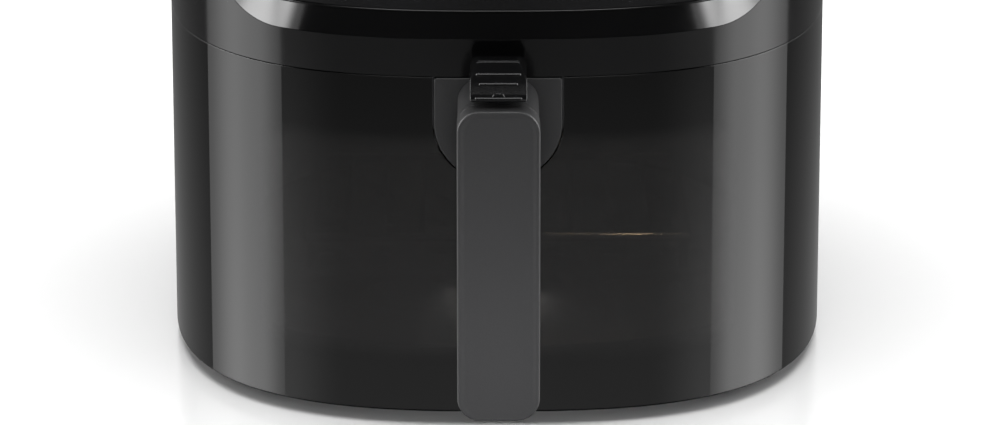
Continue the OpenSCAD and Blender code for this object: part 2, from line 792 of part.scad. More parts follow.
grip_outline = round_box(grip_w / 2, grip_z, grip_top, grip_low_r, grip_top_r);

module grip_front() color(grip_grey) place() difference() {
    front_block(grip_outline, grip_y, grip_mid_y - eps);
    bracket_cut();
    span([-channel_hw, pivot_y - 3.4, channel_z], [channel_hw, grip_mid_y + 1, channel_top]);
    rod_x(pivot_y, pivot_z, latch_pin_r, -grip_w, grip_w);
}

module grip_rear() color(grip_grey) place() difference() {
    union() {
        front_block(grip_outline, grip_mid_y, grip_back_y);
        front_block(round_box(neck_w / 2, neck_z, neck_top, 6, grip_top_r), grip_back_y - 2, front_y - 0.35);
    }
    bracket_cut();
    latch_cut(grip_mid_y - 1, front_y + 1, channel_top);
    span([-channel_hw, stem_y - 1, channel_z], [channel_hw, stem_y + stem_l + 1, body_top]);
    at_handle_screws() rod_y(0, screw_z, screw_r, grip_back_y + 2, 0);
}

module handle_screws() color(steel) place() at_handle_screws() {
    rod_y(0, screw_z, screw_r - 0.02, grip_back_y + 4, front_y + frame_in + 1);
    rod_y(0, screw_z, 1.7 * screw_r, front_y + frame_in + fit, front_y + frame_in + 2);
}

module latch_pin() color(steel) place() rod_x(pivot_y, pivot_z, latch_pin_r, -grip_w / 2 + 5, grip_w / 2 - 5);

// Coil spring: a round wire swept along a helix that stands on the channel's floor
spring_h = hook_z - channel_z - 2 * spring_wire_r - fit;
spring_rings = [for (i = [0 : spring_turns * 12])
    let (t = i * 30, c = [spring_r * cos(t), spring_r * sin(t), spring_h * i / (spring_turns * 12)])
    [for (k = [0 : 5]) let (u = -60 * k)
        c + spring_wire_r * [cos(u) * cos(t), cos(u) * sin(t), sin(u)]]];

module latch_spring() color(steel) place()
    translate([0, spring_y, channel_z + spring_wire_r + 0.1]) ring_loft(spring_rings);

// ---- Thumb button and latch hook ----

// Side profile of the button as (distance in front of the body, z)
button_profile = [[12, button_z], [46, button_z], [46.5, button_z + 1.2], [45, button_z + 2.2],
    [26, seam_z + button_rise], [18, seam_z + button_rise], [12, button_z + 7]];
ribs = 4;

module side_prism(points, hw) {
    translate([-hw, 0, 0]) rotate([90, 0, 90]) linear_extrude(2 * hw) polygon(points);
}

module thumb_button() color(gloss_black) place() {
    difference() {
        side_prism([for (p = button_profile) [front_y - p[0], p[1]]], button_w / 2);
        for (side = [-1, 1]) scale([side, 1, 1])
            translate([button_w / 2 - 4, 0, button_z + 5]) rotate([0, 18, 0])
                span([0, -body_d, 0], [20, 0, 30]);
    }
    for (i = [0 : ribs - 1])
        let (k = (i + 0.5) / ribs, y = front_y - 45 + 19 * k,
            z = button_z + 2.2 + (seam_z + button_rise - button_z - 2.2) * k)
            rod_x(y, z - 0.2, 0.9, -button_w / 2 + 5, button_w / 2 - 5);
    span([-2.5, stem_y, hook_z + hook_t + fit], [2.5, stem_y + stem_l, button_z + 1]);
}

module latch_hook() color(steel) place() difference() {
    union() {
        span([-hook_hw, pivot_y - 2, hook_z], [hook_hw, hook_end_y, hook_z + hook_t]);
        span([-hook_hw, front_y + frame_in + 0.2, hook_z], [hook_hw, hook_end_y, hook_tip_top]);
    }
    rod_x(pivot_y, pivot_z, latch_pin_r + latch_fit, -hook_hw - 1, hook_hw + 1);
}

// ---- Food supports ----

module crisper_plate() color(dark_steel) place() difference() {
    pan_slab(-pan_t - 3, plate_z, plate_z + plate_t);
    for (row = [0 : plate_rows - 1], col = [-3 : 3])
        translate([col * 26, pan_y + (row - (plate_rows - 1) / 2) * 42, plate_z - 1]) {
            translate([0, -11, 0]) cylinder(r = 3.5, h = plate_t + 2);
            translate([0, 11, 0]) cylinder(r = 3.5, h = plate_t + 2);
            translate([-3.5, -11, 0]) cube([7, 22, plate_t + 2]);
        }
}

module plate_bumpers() color(rubber_black) place()
    for (x = [-1, 1], y = [-1, 1]) translate([x * 58, pan_y + y * (pan_hd - 36), 0])
        translate([0, 0, pan_z + pan_t + fit]) cylinder(r = 5, h = plate_rise - fit);

module wire_rack() color(steel) place() translate([0, pan_y, 0]) {
    for (x = [-rack_hx, rack_hx], y = [-rack_hy / 2, rack_hy / 2])
        translate([x, y, rack_z]) cylinder(r = rack_wire_r, h = rack_leg_h);
    for (x = [-rack_hx, rack_hx]) rod_y(x, rack_top, rack_wire_r, -rack_hy, rack_hy);
    for (y = [-rack_hy, rack_hy]) rod_x(y, rack_top, rack_wire_r, -rack_hx, rack_hx);
    for (x = [-rack_hx, rack_hx], y = [-rack_hy, rack_hy])
        translate([x, y, rack_top]) sphere(r = rack_wire_r);
    for (k = [-4 : 4]) rod_y(k * rack_hx / 5, rack_top, 0.6 * rack_wire_r, -rack_hy, rack_hy);
}

housing_shell();
top_cover();
panel_bezel();
panel_glass();
panel_carrier();
display_board();
base_plate();
rubber_feet();
foot_screws();
head_floor();
inner_liner();
side_rails();
heat_shield();
heating_element();
element_brackets();
element_guard();
motor_stator();
motor_windings();
motor_brackets();
shaft_bushes();
motor_posts();
temperature_sensor();
thermal_cutout();
power_board();
board_parts();
lamp_holder();
lamp_bulb();
lamp_cover();
air_duct();
rear_vent();
intake_grille();
cord_gland();
drawer_switch();
latch_strike();
motor_shaft();
rotor_core();
hot_fan();
cooling_fan();
fan_nut();
front_lens();
drawer_frame();
inner_glass();
window_seal();
drawer_pan();
handle_mount();
handle_bracket();
grip_front();
grip_rear();
handle_screws();
latch_pin();
latch_spring();
thumb_button();
latch_hook();
crisper_plate();
plate_bumpers();
wire_rack();
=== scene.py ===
"""Finished surfaces, finishes and studio for a hot-air fryer with a see-through drawer.

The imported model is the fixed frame. Each operator makes one piece or a group of like pieces
round it, and the panel in the sidebar lists them in the order in which they are made.
"""

import json
import math

import bmesh
import bpy
import numpy as np
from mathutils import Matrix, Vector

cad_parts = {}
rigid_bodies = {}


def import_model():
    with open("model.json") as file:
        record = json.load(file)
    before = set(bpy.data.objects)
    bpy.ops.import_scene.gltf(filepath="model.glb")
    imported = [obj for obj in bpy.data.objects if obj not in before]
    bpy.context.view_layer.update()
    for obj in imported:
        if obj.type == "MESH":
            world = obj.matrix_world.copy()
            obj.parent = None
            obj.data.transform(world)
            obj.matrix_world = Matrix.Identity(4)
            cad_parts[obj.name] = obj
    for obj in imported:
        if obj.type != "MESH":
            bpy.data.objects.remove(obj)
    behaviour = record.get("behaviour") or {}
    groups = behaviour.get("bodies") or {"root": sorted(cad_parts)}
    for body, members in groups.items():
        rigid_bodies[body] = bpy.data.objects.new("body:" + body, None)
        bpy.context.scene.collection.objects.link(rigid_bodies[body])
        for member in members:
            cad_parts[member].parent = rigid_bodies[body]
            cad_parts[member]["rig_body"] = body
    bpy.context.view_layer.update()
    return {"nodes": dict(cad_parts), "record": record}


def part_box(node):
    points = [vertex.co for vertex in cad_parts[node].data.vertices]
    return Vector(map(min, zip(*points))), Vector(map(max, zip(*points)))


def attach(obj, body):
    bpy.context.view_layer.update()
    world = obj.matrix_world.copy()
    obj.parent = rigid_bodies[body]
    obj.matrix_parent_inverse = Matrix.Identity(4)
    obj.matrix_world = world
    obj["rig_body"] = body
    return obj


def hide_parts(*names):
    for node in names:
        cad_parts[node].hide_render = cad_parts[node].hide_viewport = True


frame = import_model()

bl_info = {
    "name": "Hot-Air Fryer Finish",
    "version": (1, 0, 0),
    "blender": (4, 5, 0),
    "location": "3D View > Sidebar > Fryer",
    "description": "Builds the visible surfaces, finishes and studio of a hot-air fryer",
    "category": "Object",
}

MM = 0.001

# ---------------------------------------------------------------- sizes taken from the frame

SHELL_LOW, SHELL_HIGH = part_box("housing_shell")
HALF_W = SHELL_HIGH.x
HALF_D = (SHELL_HIGH.y - SHELL_LOW.y) / 2
AXIS_Y = (SHELL_HIGH.y + SHELL_LOW.y) / 2
BASE_Z = SHELL_LOW.z
COVER_Z = SHELL_HIGH.z
TOP_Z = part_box("top_cover")[1].z
FRONT_Y = SHELL_LOW.y
POWER = 2.73
WALL = 3 * MM

LENS_LOW, LENS_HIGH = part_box("front_lens")
LENS_THICK = 2.5 * MM
SEAM_Z = LENS_HIGH.z + 0.4 * MM
SPLIT_Y = AXIS_Y + 8 * MM

RECESS_HW = 121 * MM
RECESS_Z = SEAM_Z + 16.3 * MM
RECESS_TOP = RECESS_Z + 116 * MM
RECESS_R = 28 * MM
PANEL_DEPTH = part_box("panel_glass")[0].y - FRONT_Y
BEVEL_W = 11.2 * MM
PANEL_FACE = PANEL_DEPTH - 0.2 * MM

GLASS_LOW, GLASS_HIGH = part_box("inner_glass")
WINDOW_HW = GLASS_HIGH.x - 6 * MM
WINDOW_Z = GLASS_LOW.z + 6 * MM
WINDOW_TOP = GLASS_HIGH.z - 6 * MM
WINDOW_R = 14 * MM

PAN_LOW, PAN_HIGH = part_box("drawer_pan")
PAN_HW = 126 * MM
PAN_HD = 142.55 * MM
PAN_Y = AXIS_Y - 12.55 * MM
PAN_T = 1.6 * MM
RIM_Z = PAN_HIGH.z - 1.5 * MM

MOUNT_LOW, MOUNT_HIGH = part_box("handle_mount")
GRIP_LOW, GRIP_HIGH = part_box("grip_front")
REAR_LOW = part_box("grip_rear")[0]
BUTTON_LOW, BUTTON_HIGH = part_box("thumb_button")
HOOK_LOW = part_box("latch_hook")[0]

MOUNT_R = 24.6 * MM
LATCH_HW = 3.2 * MM
LATCH_LOW = SEAM_Z - 18 * MM
LATCH_TOP = SEAM_Z - 3.5 * MM
LATCH_FRONT = HOOK_LOW.y - 1.6 * MM

CAMERA_PLACE = (-0.0073, -2.2995, 0.7716)
LOOK_DOWN, LOOK_ASIDE = 17.435, -0.215

SLOT_OF = {p["node"]: p["material_slot"] for p in frame["record"]["subparts"]}


# ---------------------------------------------------------------- settings

class FryerBodySettings(bpy.types.PropertyGroup):
    """Finish of the housing and the panel."""

    body_colour: bpy.props.FloatVectorProperty(
        name="Body colour", description="Colour of the moulded housing", subtype="COLOR",
        size=3, min=0, max=1, default=(0.0016, 0.0016, 0.0017))
    body_roughness: bpy.props.FloatProperty(
        name="Body roughness", description="How blurred the housing's reflections are",
        subtype="FACTOR", min=0, max=1, default=0.11)
    edge_round: bpy.props.FloatProperty(
        name="Edge round", description="Round on the edges along the seams", subtype="DISTANCE",
        unit="LENGTH", min=0.0002, max=0.0012, default=0.0006)
    print_light: bpy.props.FloatProperty(
        name="Panel print", description="Brightness of the symbols on the touch panel",
        min=0, max=5, default=0.5)


class FryerDrawerSettings(bpy.types.PropertyGroup):
    """Finish of the drawer front, the window and the pan."""

    window_tint: bpy.props.FloatVectorProperty(
        name="Window tint", description="Smoke tint of the clear part of the drawer front",
        subtype="COLOR", size=3, min=0, max=1, default=(0.11, 0.107, 0.104))
    window_fade: bpy.props.FloatProperty(
        name="Window fade", description="Width over which the clear part turns black",
        subtype="DISTANCE", unit="LENGTH", min=0.001, max=0.04, default=0.010)
    coating_colour: bpy.props.FloatVectorProperty(
        name="Coating colour", description="Colour of the pan's non-stick coating",
        subtype="COLOR", size=3, min=0, max=1, default=(0.010, 0.010, 0.0105))


class FryerHandleSettings(bpy.types.PropertyGroup):
    """Finish and small shapes of the handle."""

    grip_colour: bpy.props.FloatVectorProperty(
        name="Grip colour", description="Colour of the soft-touch grip", subtype="COLOR",
        size=3, min=0, max=1, default=(0.0125, 0.0125, 0.013))
    rim_width: bpy.props.FloatProperty(
        name="Rim width", description="Width of the raised rim round the grip's face",
        subtype="DISTANCE", unit="LENGTH", min=0.0005, max=0.004, default=0.0016)
    dish_depth: bpy.props.FloatProperty(
        name="Dish depth", description="Depth of the grip's face inside its rim",
        subtype="DISTANCE", unit="LENGTH", min=0, max=0.002, default=0.0009)


class FryerStageSettings(bpy.types.PropertyGroup):
    """Studio round the fryer."""

    floor_colour: bpy.props.FloatVectorProperty(
        name="Floor colour", description="Colour of the floor", subtype="COLOR",
        size=3, min=0, max=1, default=(0.82, 0.82, 0.82))
    side_light: bpy.props.FloatProperty(
        name="Side cards", description="Brightness of the tall cards on both sides",
        min=0, max=20, default=2.45)
    front_light: bpy.props.FloatProperty(
        name="Front card", description="Brightness of the wide card in front",
        min=0, max=5, default=0.155)
    upper_light: bpy.props.FloatProperty(
        name="Upper card", description="Brightness of the card that lines the upper edges",
        min=0, max=20, default=7.0)
    top_light: bpy.props.FloatProperty(
        name="Top light", description="Power of the softbox overhead", unit="POWER",
        min=0, max=2000, default=105)
    lens_mm: bpy.props.FloatProperty(
        name="Lens", description="Focal length of the camera in millimetres",
        min=20, max=400, default=192.3)


# ---------------------------------------------------------------- shapes

def outline(theta, inset, half=(HALF_W, HALF_D), centre_y=AXIS_Y):
    """Plan of the body at polar angles theta: the superellipse |x/a|^p + |y/b|^p = 1, whose half
    axes a and b are both drawn in by the inset. Returns x and y."""
    c, s = np.cos(theta), np.sin(theta)
    a, b = half[0] - inset, half[1] - inset
    r = (np.abs(c / a) ** POWER + np.abs(s / b) ** POWER) ** (-1 / POWER)
    return r * c, centre_y + r * s


def front_at(x, depth):
    """y of the body's front at x, that many metres behind the outer surface:
    y = axis - b (1 - |x/a|^p)^(1/p)."""
    a, b = HALF_W - depth, HALF_D - depth
    return AXIS_Y - b * np.clip(1 - np.abs(x / a) ** POWER, 0, 1) ** (1 / POWER)


def pan_outline(theta, grow):
    """Plan of the pan: the same kind of superellipse about the pan's centre, grown outwards."""
    return outline(theta, -np.asarray(grow), (PAN_HW, PAN_HD), PAN_Y)


def loop(hw, z0, z1, r0, r1, side=16, corner=8):
    """Rectangle in the front view with quarter-circle corners of radius r0 below and r1 above.
    Returns n points (x, z), anticlockwise from the left end of the low left corner."""
    hw, r0, r1 = max(hw, 0), max(r0, 0), max(r1, 0)
    parts = []
    for cx, cz, r, start in ((-hw + r0, z0 + r0, r0, 180), (hw - r0, z0 + r0, r0, 270),
                             (hw - r1, z1 - r1, r1, 0), (-hw + r1, z1 - r1, r1, 90)):
        t = np.radians(np.linspace(start, start + 90, corner + 1))
        parts.append(np.stack([cx + r * np.cos(t), cz + r * np.sin(t)], 1))
    points = []
    for k in range(4):
        points.append(parts[k])
        points.append(np.linspace(parts[k][-1], parts[(k + 1) % 4][0], side + 2)[1:-1])
    return np.concatenate(points)


def quads(m, n, around=True):
    """Faces of a grid of m rings with n points each, joined ring to ring."""
    i = np.arange(m - 1)[:, None] * n
    j = np.arange(n if around else n - 1)[None, :]
    k = (j + 1) % n
    return np.stack([i + j, i + k, i + n + k, i + n + j], -1).reshape(-1, 4)


def skin(rings, cap=True):
    """Closed skin over an (m, n, 3) array of rings, with a face over the first and the last."""
    m, n = rings.shape[:2]
    faces = quads(m, n).tolist()
    if cap:
        faces += [list(range(n)), list(range((m - 1) * n, m * n))]
    return rings.reshape(-1, 3), faces


def torus_skin(rings):
    """Skin over rings whose last joins the first, with no ends."""
    m, n = rings.shape[:2]
    around = np.concatenate([rings, rings[:1]])
    faces = quads(m + 1, n) % (m * n)
    return around[:m].reshape(-1, 3), faces.tolist()


def plate_rings(outline_of, profile, y_of):
    """Rings of a plate seen from the front. outline_of(d) is its outline drawn in by d, the profile
    lists pairs (d, depth), and y_of(x, depth) puts each point at its depth."""
    rings = []
    for d, depth in profile:
        xz = outline_of(d)
        rings.append(np.stack([xz[:, 0], y_of(xz[:, 0], depth), xz[:, 1]], 1))
    return np.stack(rings)


def rounded(radius, steps=5):
    """Pairs (d, depth) of a quarter-circle edge, from the side (0, r) to the face (r, 0)."""
    a = np.linspace(0, math.pi / 2, steps + 1)
    return [(radius * (1 - math.cos(t)), radius * (1 - math.sin(t))) for t in a]


def box_profile(i0, i1, z0, z1, radii, steps=4):
    """Cross-section of a wall between insets i0 < i1 and heights z0 < z1 as a closed list of
    (inset, z), with one corner radius each for outer-low, outer-high, inner-high and inner-low."""
    corners = ((i0, z0, 1, 1, 180), (i0, z1, 1, -1, 90), (i1, z1, -1, -1, 0), (i1, z0, -1, 1, 270))
    points = []
    for (i, z, di, dz, start), r in zip(corners, radii):
        order = np.linspace(90, 0, steps + 1) + start
        t = np.radians(order)
        points.append(np.stack([i + di * r + r * np.cos(t), z + dz * r + r * np.sin(t)], 1))
    return np.concatenate(points)


def tube(path, radius, sides=12, closed=False):
    """Round tube along a path of points: each ring stands square to the mean of its neighbouring
    steps and is turned as little as possible from the ring before."""
    path = np.asarray(path, float)
    if closed:
        step = np.roll(path, -1, 0) - np.roll(path, 1, 0)
    else:
        step = np.gradient(path, axis=0)
    step /= np.linalg.norm(step, axis=1)[:, None]
    seed = np.array([0, 0, 1.0]) if abs(step[0, 2]) < 0.9 else np.array([1.0, 0, 0])
    side = np.empty_like(path)
    last = seed
    for k, t in enumerate(step):
        last = last - t * last.dot(t)
        last = last / np.linalg.norm(last)
        side[k] = last
    up = np.cross(step, side)
    a = np.linspace(0, 2 * math.pi, sides, endpoint=False)
    radius = np.broadcast_to(radius, len(path))
    rings = (path[:, None] + radius[:, None, None]
             * (side[:, None] * np.cos(a)[None, :, None] + up[:, None] * np.sin(a)[None, :, None]))
    return torus_skin(rings) if closed else skin(rings)


def rod(p, q, radius, sides=12, cap=0.35):
    """Round bar from p to q whose ends are domed: the radius falls as a quarter ellipse."""
    p, q = np.asarray(p, float), np.asarray(q, float)
    length = np.linalg.norm(q - p)
    ends = radius * cap * 2
    a = np.linspace(0.12, math.pi / 2, 4)
    along = np.concatenate([ends * (1 - np.cos(a)[::1]), length - ends * (1 - np.cos(a))[::-1]])
    thick = np.concatenate([np.sin(a), np.sin(a)[::-1]])
    order = np.argsort(along)
    return tube(p + (q - p) / length * along[order][:, None], radius * thick[order], sides)


def block(low, high):
    """Eight corners and six faces of a cuboid, used only to cut with."""
    x, y, z = zip(low, high)
    verts = [(a, b, c) for a in x for b in y for c in z]
    faces = [(0, 1, 3, 2), (4, 6, 7, 5), (0, 4, 5, 1), (2, 3, 7, 6), (0, 2, 6, 4), (1, 5, 7, 3)]
    return np.array(verts, float), [list(f) for f in faces]


def front_cutter(points, y0, y1):
    """Prism along y on a closed front-view outline, used only to cut with."""
    rings = np.stack([np.stack([points[:, 0], np.full(len(points), y), points[:, 1]], 1)
                      for y in (y0, y1)])
    return skin(rings)


# ---------------------------------------------------------------- mesh objects

def make(name, parts, weld=1e-6):
    """One object from a list of (points, faces), its doubles merged and its faces turned out."""
    verts, faces, at = [], [], 0
    for points, part_faces in parts:
        verts.append(np.asarray(points, float))
        faces += [[i + at for i in f] for f in part_faces]
        at += len(points)
    mesh = bpy.data.meshes.new(name)
    mesh.from_pydata(np.concatenate(verts).tolist(), [], faces)
    bm = bmesh.new()
    bm.from_mesh(mesh)
    bmesh.ops.remove_doubles(bm, verts=bm.verts, dist=weld)
    bmesh.ops.dissolve_degenerate(bm, dist=weld, edges=bm.edges)
    bmesh.ops.recalc_face_normals(bm, faces=bm.faces)
    bm.to_mesh(mesh)
    bm.free()
    obj = bpy.data.objects.new(name, mesh)
    bpy.context.scene.collection.objects.link(obj)
    return obj


def settle(obj):
    """Puts the result of the object's modifiers into its mesh."""
    bpy.context.view_layer.update()
    graph = bpy.context.evaluated_depsgraph_get()
    mesh = bpy.data.meshes.new_from_object(obj.evaluated_get(graph))
    old = obj.data
    obj.modifiers.clear()
    obj.data = mesh
    bpy.data.meshes.remove(old)
    return obj


def cut(obj, *cutters, operation="DIFFERENCE"):
    """Takes solids given as (points, faces) away from the object."""
    for k, solid in enumerate(cutters):
        tool = make(f"{obj.name}_cutter_{k}", [solid])
        mod = obj.modifiers.new("cut", "BOOLEAN")
        mod.solver = "EXACT"
        mod.operation = operation
        mod.object = tool
        settle(obj)
        bpy.data.objects.remove(tool)
    return obj


def rounded_edges(obj, width, segments=2, angle=40):
    """Rounds the edges that are sharper than the angle, and applies it."""
    mod = obj.modifiers.new("round", "BEVEL")
    mod.width = width
    mod.segments = segments
    mod.limit_method = "ANGLE"
    mod.angle_limit = math.radians(angle)
    mod.use_clamp_overlap = True
    mod.miter_outer = "MITER_ARC"
    return settle(obj)


def shade(obj, angle=35):
    """Smooth faces with edges kept sharp above the angle."""
    obj.data.shade_smooth()
    obj.data.set_sharp_from_angle(angle=math.radians(angle))
    return obj


def wall_normals(obj, near=0.9994):
    """Gives the corners of faces that lie on the outline the outline's own normal,
    (sgn x |x|^(p-1) / a^p, sgn y |y|^(p-1) / b^p, 0), for the inset on which the corner lies."""
    mesh = obj.data
    loops, polys = len(mesh.loops), len(mesh.polygons)
    corner = np.empty(loops * 3, np.float32)
    mesh.corner_normals.foreach_get("vector", corner)
    corner = corner.reshape(-1, 3)
    index = np.empty(loops, np.int32)
    mesh.loops.foreach_get("vertex_index", index)
    co = np.empty(len(mesh.vertices) * 3, np.float32)
    mesh.vertices.foreach_get("co", co)
    co = co.reshape(-1, 3)[index].astype(float)
    total = np.empty(polys, np.int32)
    mesh.polygons.foreach_get("loop_total", total)
    face = np.empty(polys * 3, np.float32)
    mesh.polygons.foreach_get("normal", face)
    face = np.repeat(face.reshape(-1, 3), total, 0)
    x, y = np.abs(co[:, 0]), co[:, 1] - AXIS_Y
    low, high = np.full(loops, -2 * MM), np.full(loops, 40 * MM)
    for _ in range(30):
        mid = (low + high) / 2
        outside = (x / (HALF_W - mid)) ** POWER + (np.abs(y) / (HALF_D - mid)) ** POWER > 1
        high = np.where(outside, mid, high)
        low = np.where(outside, low, mid)
    a, b = HALF_W - low, HALF_D - low
    ideal = np.stack([np.sign(co[:, 0]) * x ** (POWER - 1) / a ** POWER,
                      np.sign(y) * np.abs(y) ** (POWER - 1) / b ** POWER, np.zeros(loops)], 1)
    ideal /= np.linalg.norm(ideal, axis=1)[:, None] + 1e-12
    facing = (ideal * face).sum(1)
    on_wall = np.abs(facing) > near
    corner[on_wall] = (ideal * np.sign(facing)[:, None])[on_wall]
    mesh.normals_split_custom_set(corner.tolist())
    return obj


def place(obj, body, slot, material, *nodes):
    """Gives a finished piece its material and its body, and hides the CAD nodes it stands for; the
    slot is not used.
    """
    obj.data.materials.clear()
    obj.data.materials.append(material)
    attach(obj, body)
    if nodes:
        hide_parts(*nodes)
    return obj


def softened(node, name, material, width=0.4 * MM, angle=35, segments=2):
    """Copy of a CAD node with its doubles merged, its flat faces joined, a small round on its
    edges and smooth shading, which stands for the node."""
    source = frame["nodes"][node]
    mesh = source.data.copy()
    bm = bmesh.new()
    bm.from_mesh(mesh)
    bmesh.ops.remove_doubles(bm, verts=bm.verts, dist=2e-6)
    bmesh.ops.dissolve_limit(bm, angle_limit=math.radians(0.4), verts=bm.verts, edges=bm.edges)
    bm.to_mesh(mesh)
    bm.free()
    obj = bpy.data.objects.new(name, mesh)
    bpy.context.scene.collection.objects.link(obj)
    if width:
        rounded_edges(obj, width, segments, angle)
    shade(obj, angle)
    return place(obj, source["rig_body"], SLOT_OF[node], material, node)


# ---------------------------------------------------------------- node groups

def add(tree, kind, inputs=None, **settings):
    """A node with its settings, whose inputs are values or the sockets that feed them."""
    node = tree.nodes.new(kind)
    for key, value in settings.items():
        setattr(node, key, value)
    for key, value in (inputs or {}).items():
        if isinstance(value, bpy.types.NodeSocket):
            tree.links.new(value, node.inputs[key])
        else:
            node.inputs[key].default_value = value
    return node


def math_node(tree, operation, *values, clamp=False):
    node = add(tree, "ShaderNodeMath", operation=operation, use_clamp=clamp)
    for k, value in enumerate(values):
        if isinstance(value, bpy.types.NodeSocket):
            tree.links.new(value, node.inputs[k])
        else:
            node.inputs[k].default_value = value
    return node.outputs[0]


def remap(tree, value, low, high, to_low=0.0, to_high=1.0):
    """Smooth change from to_low to to_high while the value goes from low to high."""
    return add(tree, "ShaderNodeMapRange", {"Value": value, "From Min": low, "From Max": high,
               "To Min": to_low, "To Max": to_high}, interpolation_type="SMOOTHSTEP").outputs[0]


def mix_colour(tree, factor, a, b):
    node = add(tree, "ShaderNodeMix", {0: factor}, data_type="RGBA")
    for key, value in ((6, a), (7, b)):
        if isinstance(value, bpy.types.NodeSocket):
            tree.links.new(value, node.inputs[key])
        else:
            node.inputs[key].default_value = (*value[:3], 1)
    return node.outputs[2]


def new_group(name, inputs, outputs):
    """Shader node group with float inputs {name: default} and outputs {name: kind}."""
    tree = bpy.data.node_groups.new(name, "ShaderNodeTree")
    for key, value in inputs.items():
        colour = isinstance(value, tuple)
        sock = tree.interface.new_socket(
            key, in_out="INPUT", socket_type="NodeSocketColor" if colour else "NodeSocketFloat")
        sock.default_value = (*value, 1) if colour else value
    for key, kind in outputs.items():
        tree.interface.new_socket(key, in_out="OUTPUT", socket_type=f"NodeSocket{kind}")
    return tree, tree.nodes.new("NodeGroupInput"), tree.nodes.new("NodeGroupOutput")


def object_point(tree):
    return tree.nodes.new("ShaderNodeTexCoord").outputs["Object"]


def group_moulded_grain():
    """Fine eroded texture of a mould: small cells over softer noise, and a slight change in
    tone."""
    tree, gin, gout = new_group("Moulded grain", {"Scale": 900.0, "Contrast": 0.5},
                                {"Height": "Float", "Tone": "Float"})
    p = object_point(tree)
    cells = add(tree, "ShaderNodeTexVoronoi", {"Vector": p, "Scale": gin.outputs["Scale"]},
                feature="SMOOTH_F1")
    wide = math_node(tree, "MULTIPLY", gin.outputs["Scale"], 0.45)
    noise = add(tree, "ShaderNodeTexNoise", {"Vector": p, "Scale": wide, "Detail": 4.0})
    height = math_node(tree, "ADD", math_node(tree, "MULTIPLY", cells.outputs["Distance"], 0.6),
                       math_node(tree, "MULTIPLY", noise.outputs["Fac"], 0.8))
    tree.links.new(height, gout.inputs["Height"])
    tone = remap(tree, height, 0.2, 1.0, -0.5, 0.5)
    tree.links.new(math_node(tree, "MULTIPLY_ADD", tone, gin.outputs["Contrast"], 1.0),
                   gout.inputs["Tone"])
    return tree


def group_handling():
    """Faint wipe marks and finger smears that change gloss, and settled dust on upward faces."""
    tree, gin, gout = new_group("Handling marks", {"Amount": 1.0, "Scale": 1.0},
                                {"Smear": "Float", "Dust": "Float"})
    p = object_point(tree)
    size = gin.outputs["Scale"]
    turned = add(tree, "ShaderNodeMapping", {"Vector": p, "Rotation": (0.4, 0.7, 0.3),
                                             "Scale": (1.0, 1.0, 3.5)}).outputs[0]
    wipe = add(tree, "ShaderNodeTexNoise", {"Vector": turned, "Detail": 5.0, "Distortion": 0.6,
               "Scale": math_node(tree, "MULTIPLY", size, 14.0)}).outputs["Fac"]
    spots = add(tree, "ShaderNodeTexNoise", {"Vector": p, "Detail": 3.0,
                "Scale": math_node(tree, "MULTIPLY", size, 45.0)}).outputs["Fac"]
    smear = math_node(tree, "MULTIPLY", remap(tree, wipe, 0.45, 0.75),
                      remap(tree, spots, 0.35, 0.7, 0.3, 1.0))
    tree.links.new(math_node(tree, "MULTIPLY", smear, gin.outputs["Amount"]), gout.inputs["Smear"])
    up = add(tree, "ShaderNodeSeparateXYZ",
             {0: tree.nodes.new("ShaderNodeNewGeometry").outputs["Normal"]}).outputs["Z"]
    motes = add(tree, "ShaderNodeTexNoise", {"Vector": p, "Detail": 8.0, "Roughness": 0.75,
                "Scale": math_node(tree, "MULTIPLY", size, 260.0)}).outputs["Fac"]
    dust = math_node(tree, "MULTIPLY", remap(tree, up, 0.4, 0.98), remap(tree, motes, 0.58, 0.8))
    tree.links.new(math_node(tree, "MULTIPLY", dust, gin.outputs["Amount"]), gout.inputs["Dust"])
    return tree


def group_brushing():
    """Fine lines drawn out along x, as on rolled or brushed sheet, for height and gloss."""
    tree, gin, gout = new_group("Brushed lines", {"Scale": 400.0, "Stretch": 0.03},
                                {"Height": "Float", "Tone": "Float"})
    p = object_point(tree)
    along = add(tree, "ShaderNodeCombineXYZ", {0: gin.outputs["Stretch"], 1: 1.0, 2: 1.0})
    drawn = add(tree, "ShaderNodeVectorMath", {0: p, 1: along.outputs[0]}, operation="MULTIPLY")
    lines = add(tree, "ShaderNodeTexNoise", {"Vector": drawn.outputs[0], "Detail": 6.0,
                "Roughness": 0.7, "Scale": gin.outputs["Scale"]}).outputs["Fac"]
    cloud = add(tree, "ShaderNodeTexNoise", {"Vector": p, "Scale": 35.0, "Detail": 3.0})
    tree.links.new(lines, gout.inputs["Height"])
    tree.links.new(math_node(tree, "ADD", math_node(tree, "MULTIPLY", lines, 0.5),
                             math_node(tree, "MULTIPLY", cloud.outputs["Fac"], 0.5)),
                   gout.inputs["Tone"])
    return tree


def group_heat_tint():
    """Straw and blue tints that heat leaves on steel, in soft bands over the base colour."""
    tree, gin, gout = new_group("Heat tint", {"Amount": 0.6, "Base": (0.3, 0.29, 0.28)},
                                {"Colour": "Color", "Mask": "Float"})
    noise = add(tree, "ShaderNodeTexNoise", {"Vector": object_point(tree), "Scale": 28.0,
                "Detail": 4.0}).outputs["Fac"]
    ramp = add(tree, "ShaderNodeValToRGB", {"Fac": noise})
    stops = ramp.color_ramp.elements
    stops[0].position, stops[0].color = 0.3, (0.11, 0.10, 0.10, 1)
    stops[1].position, stops[1].color = 0.75, (0.20, 0.17, 0.12, 1)
    stops.new(0.45).color = (0.24, 0.15, 0.08, 1)
    stops.new(0.58).color = (0.12, 0.13, 0.20, 1)
    tree.links.new(mix_colour(tree, gin.outputs["Amount"], gin.outputs["Base"],
                              ramp.outputs["Color"]), gout.inputs["Colour"])
    tree.links.new(noise, gout.inputs["Mask"])
    return tree


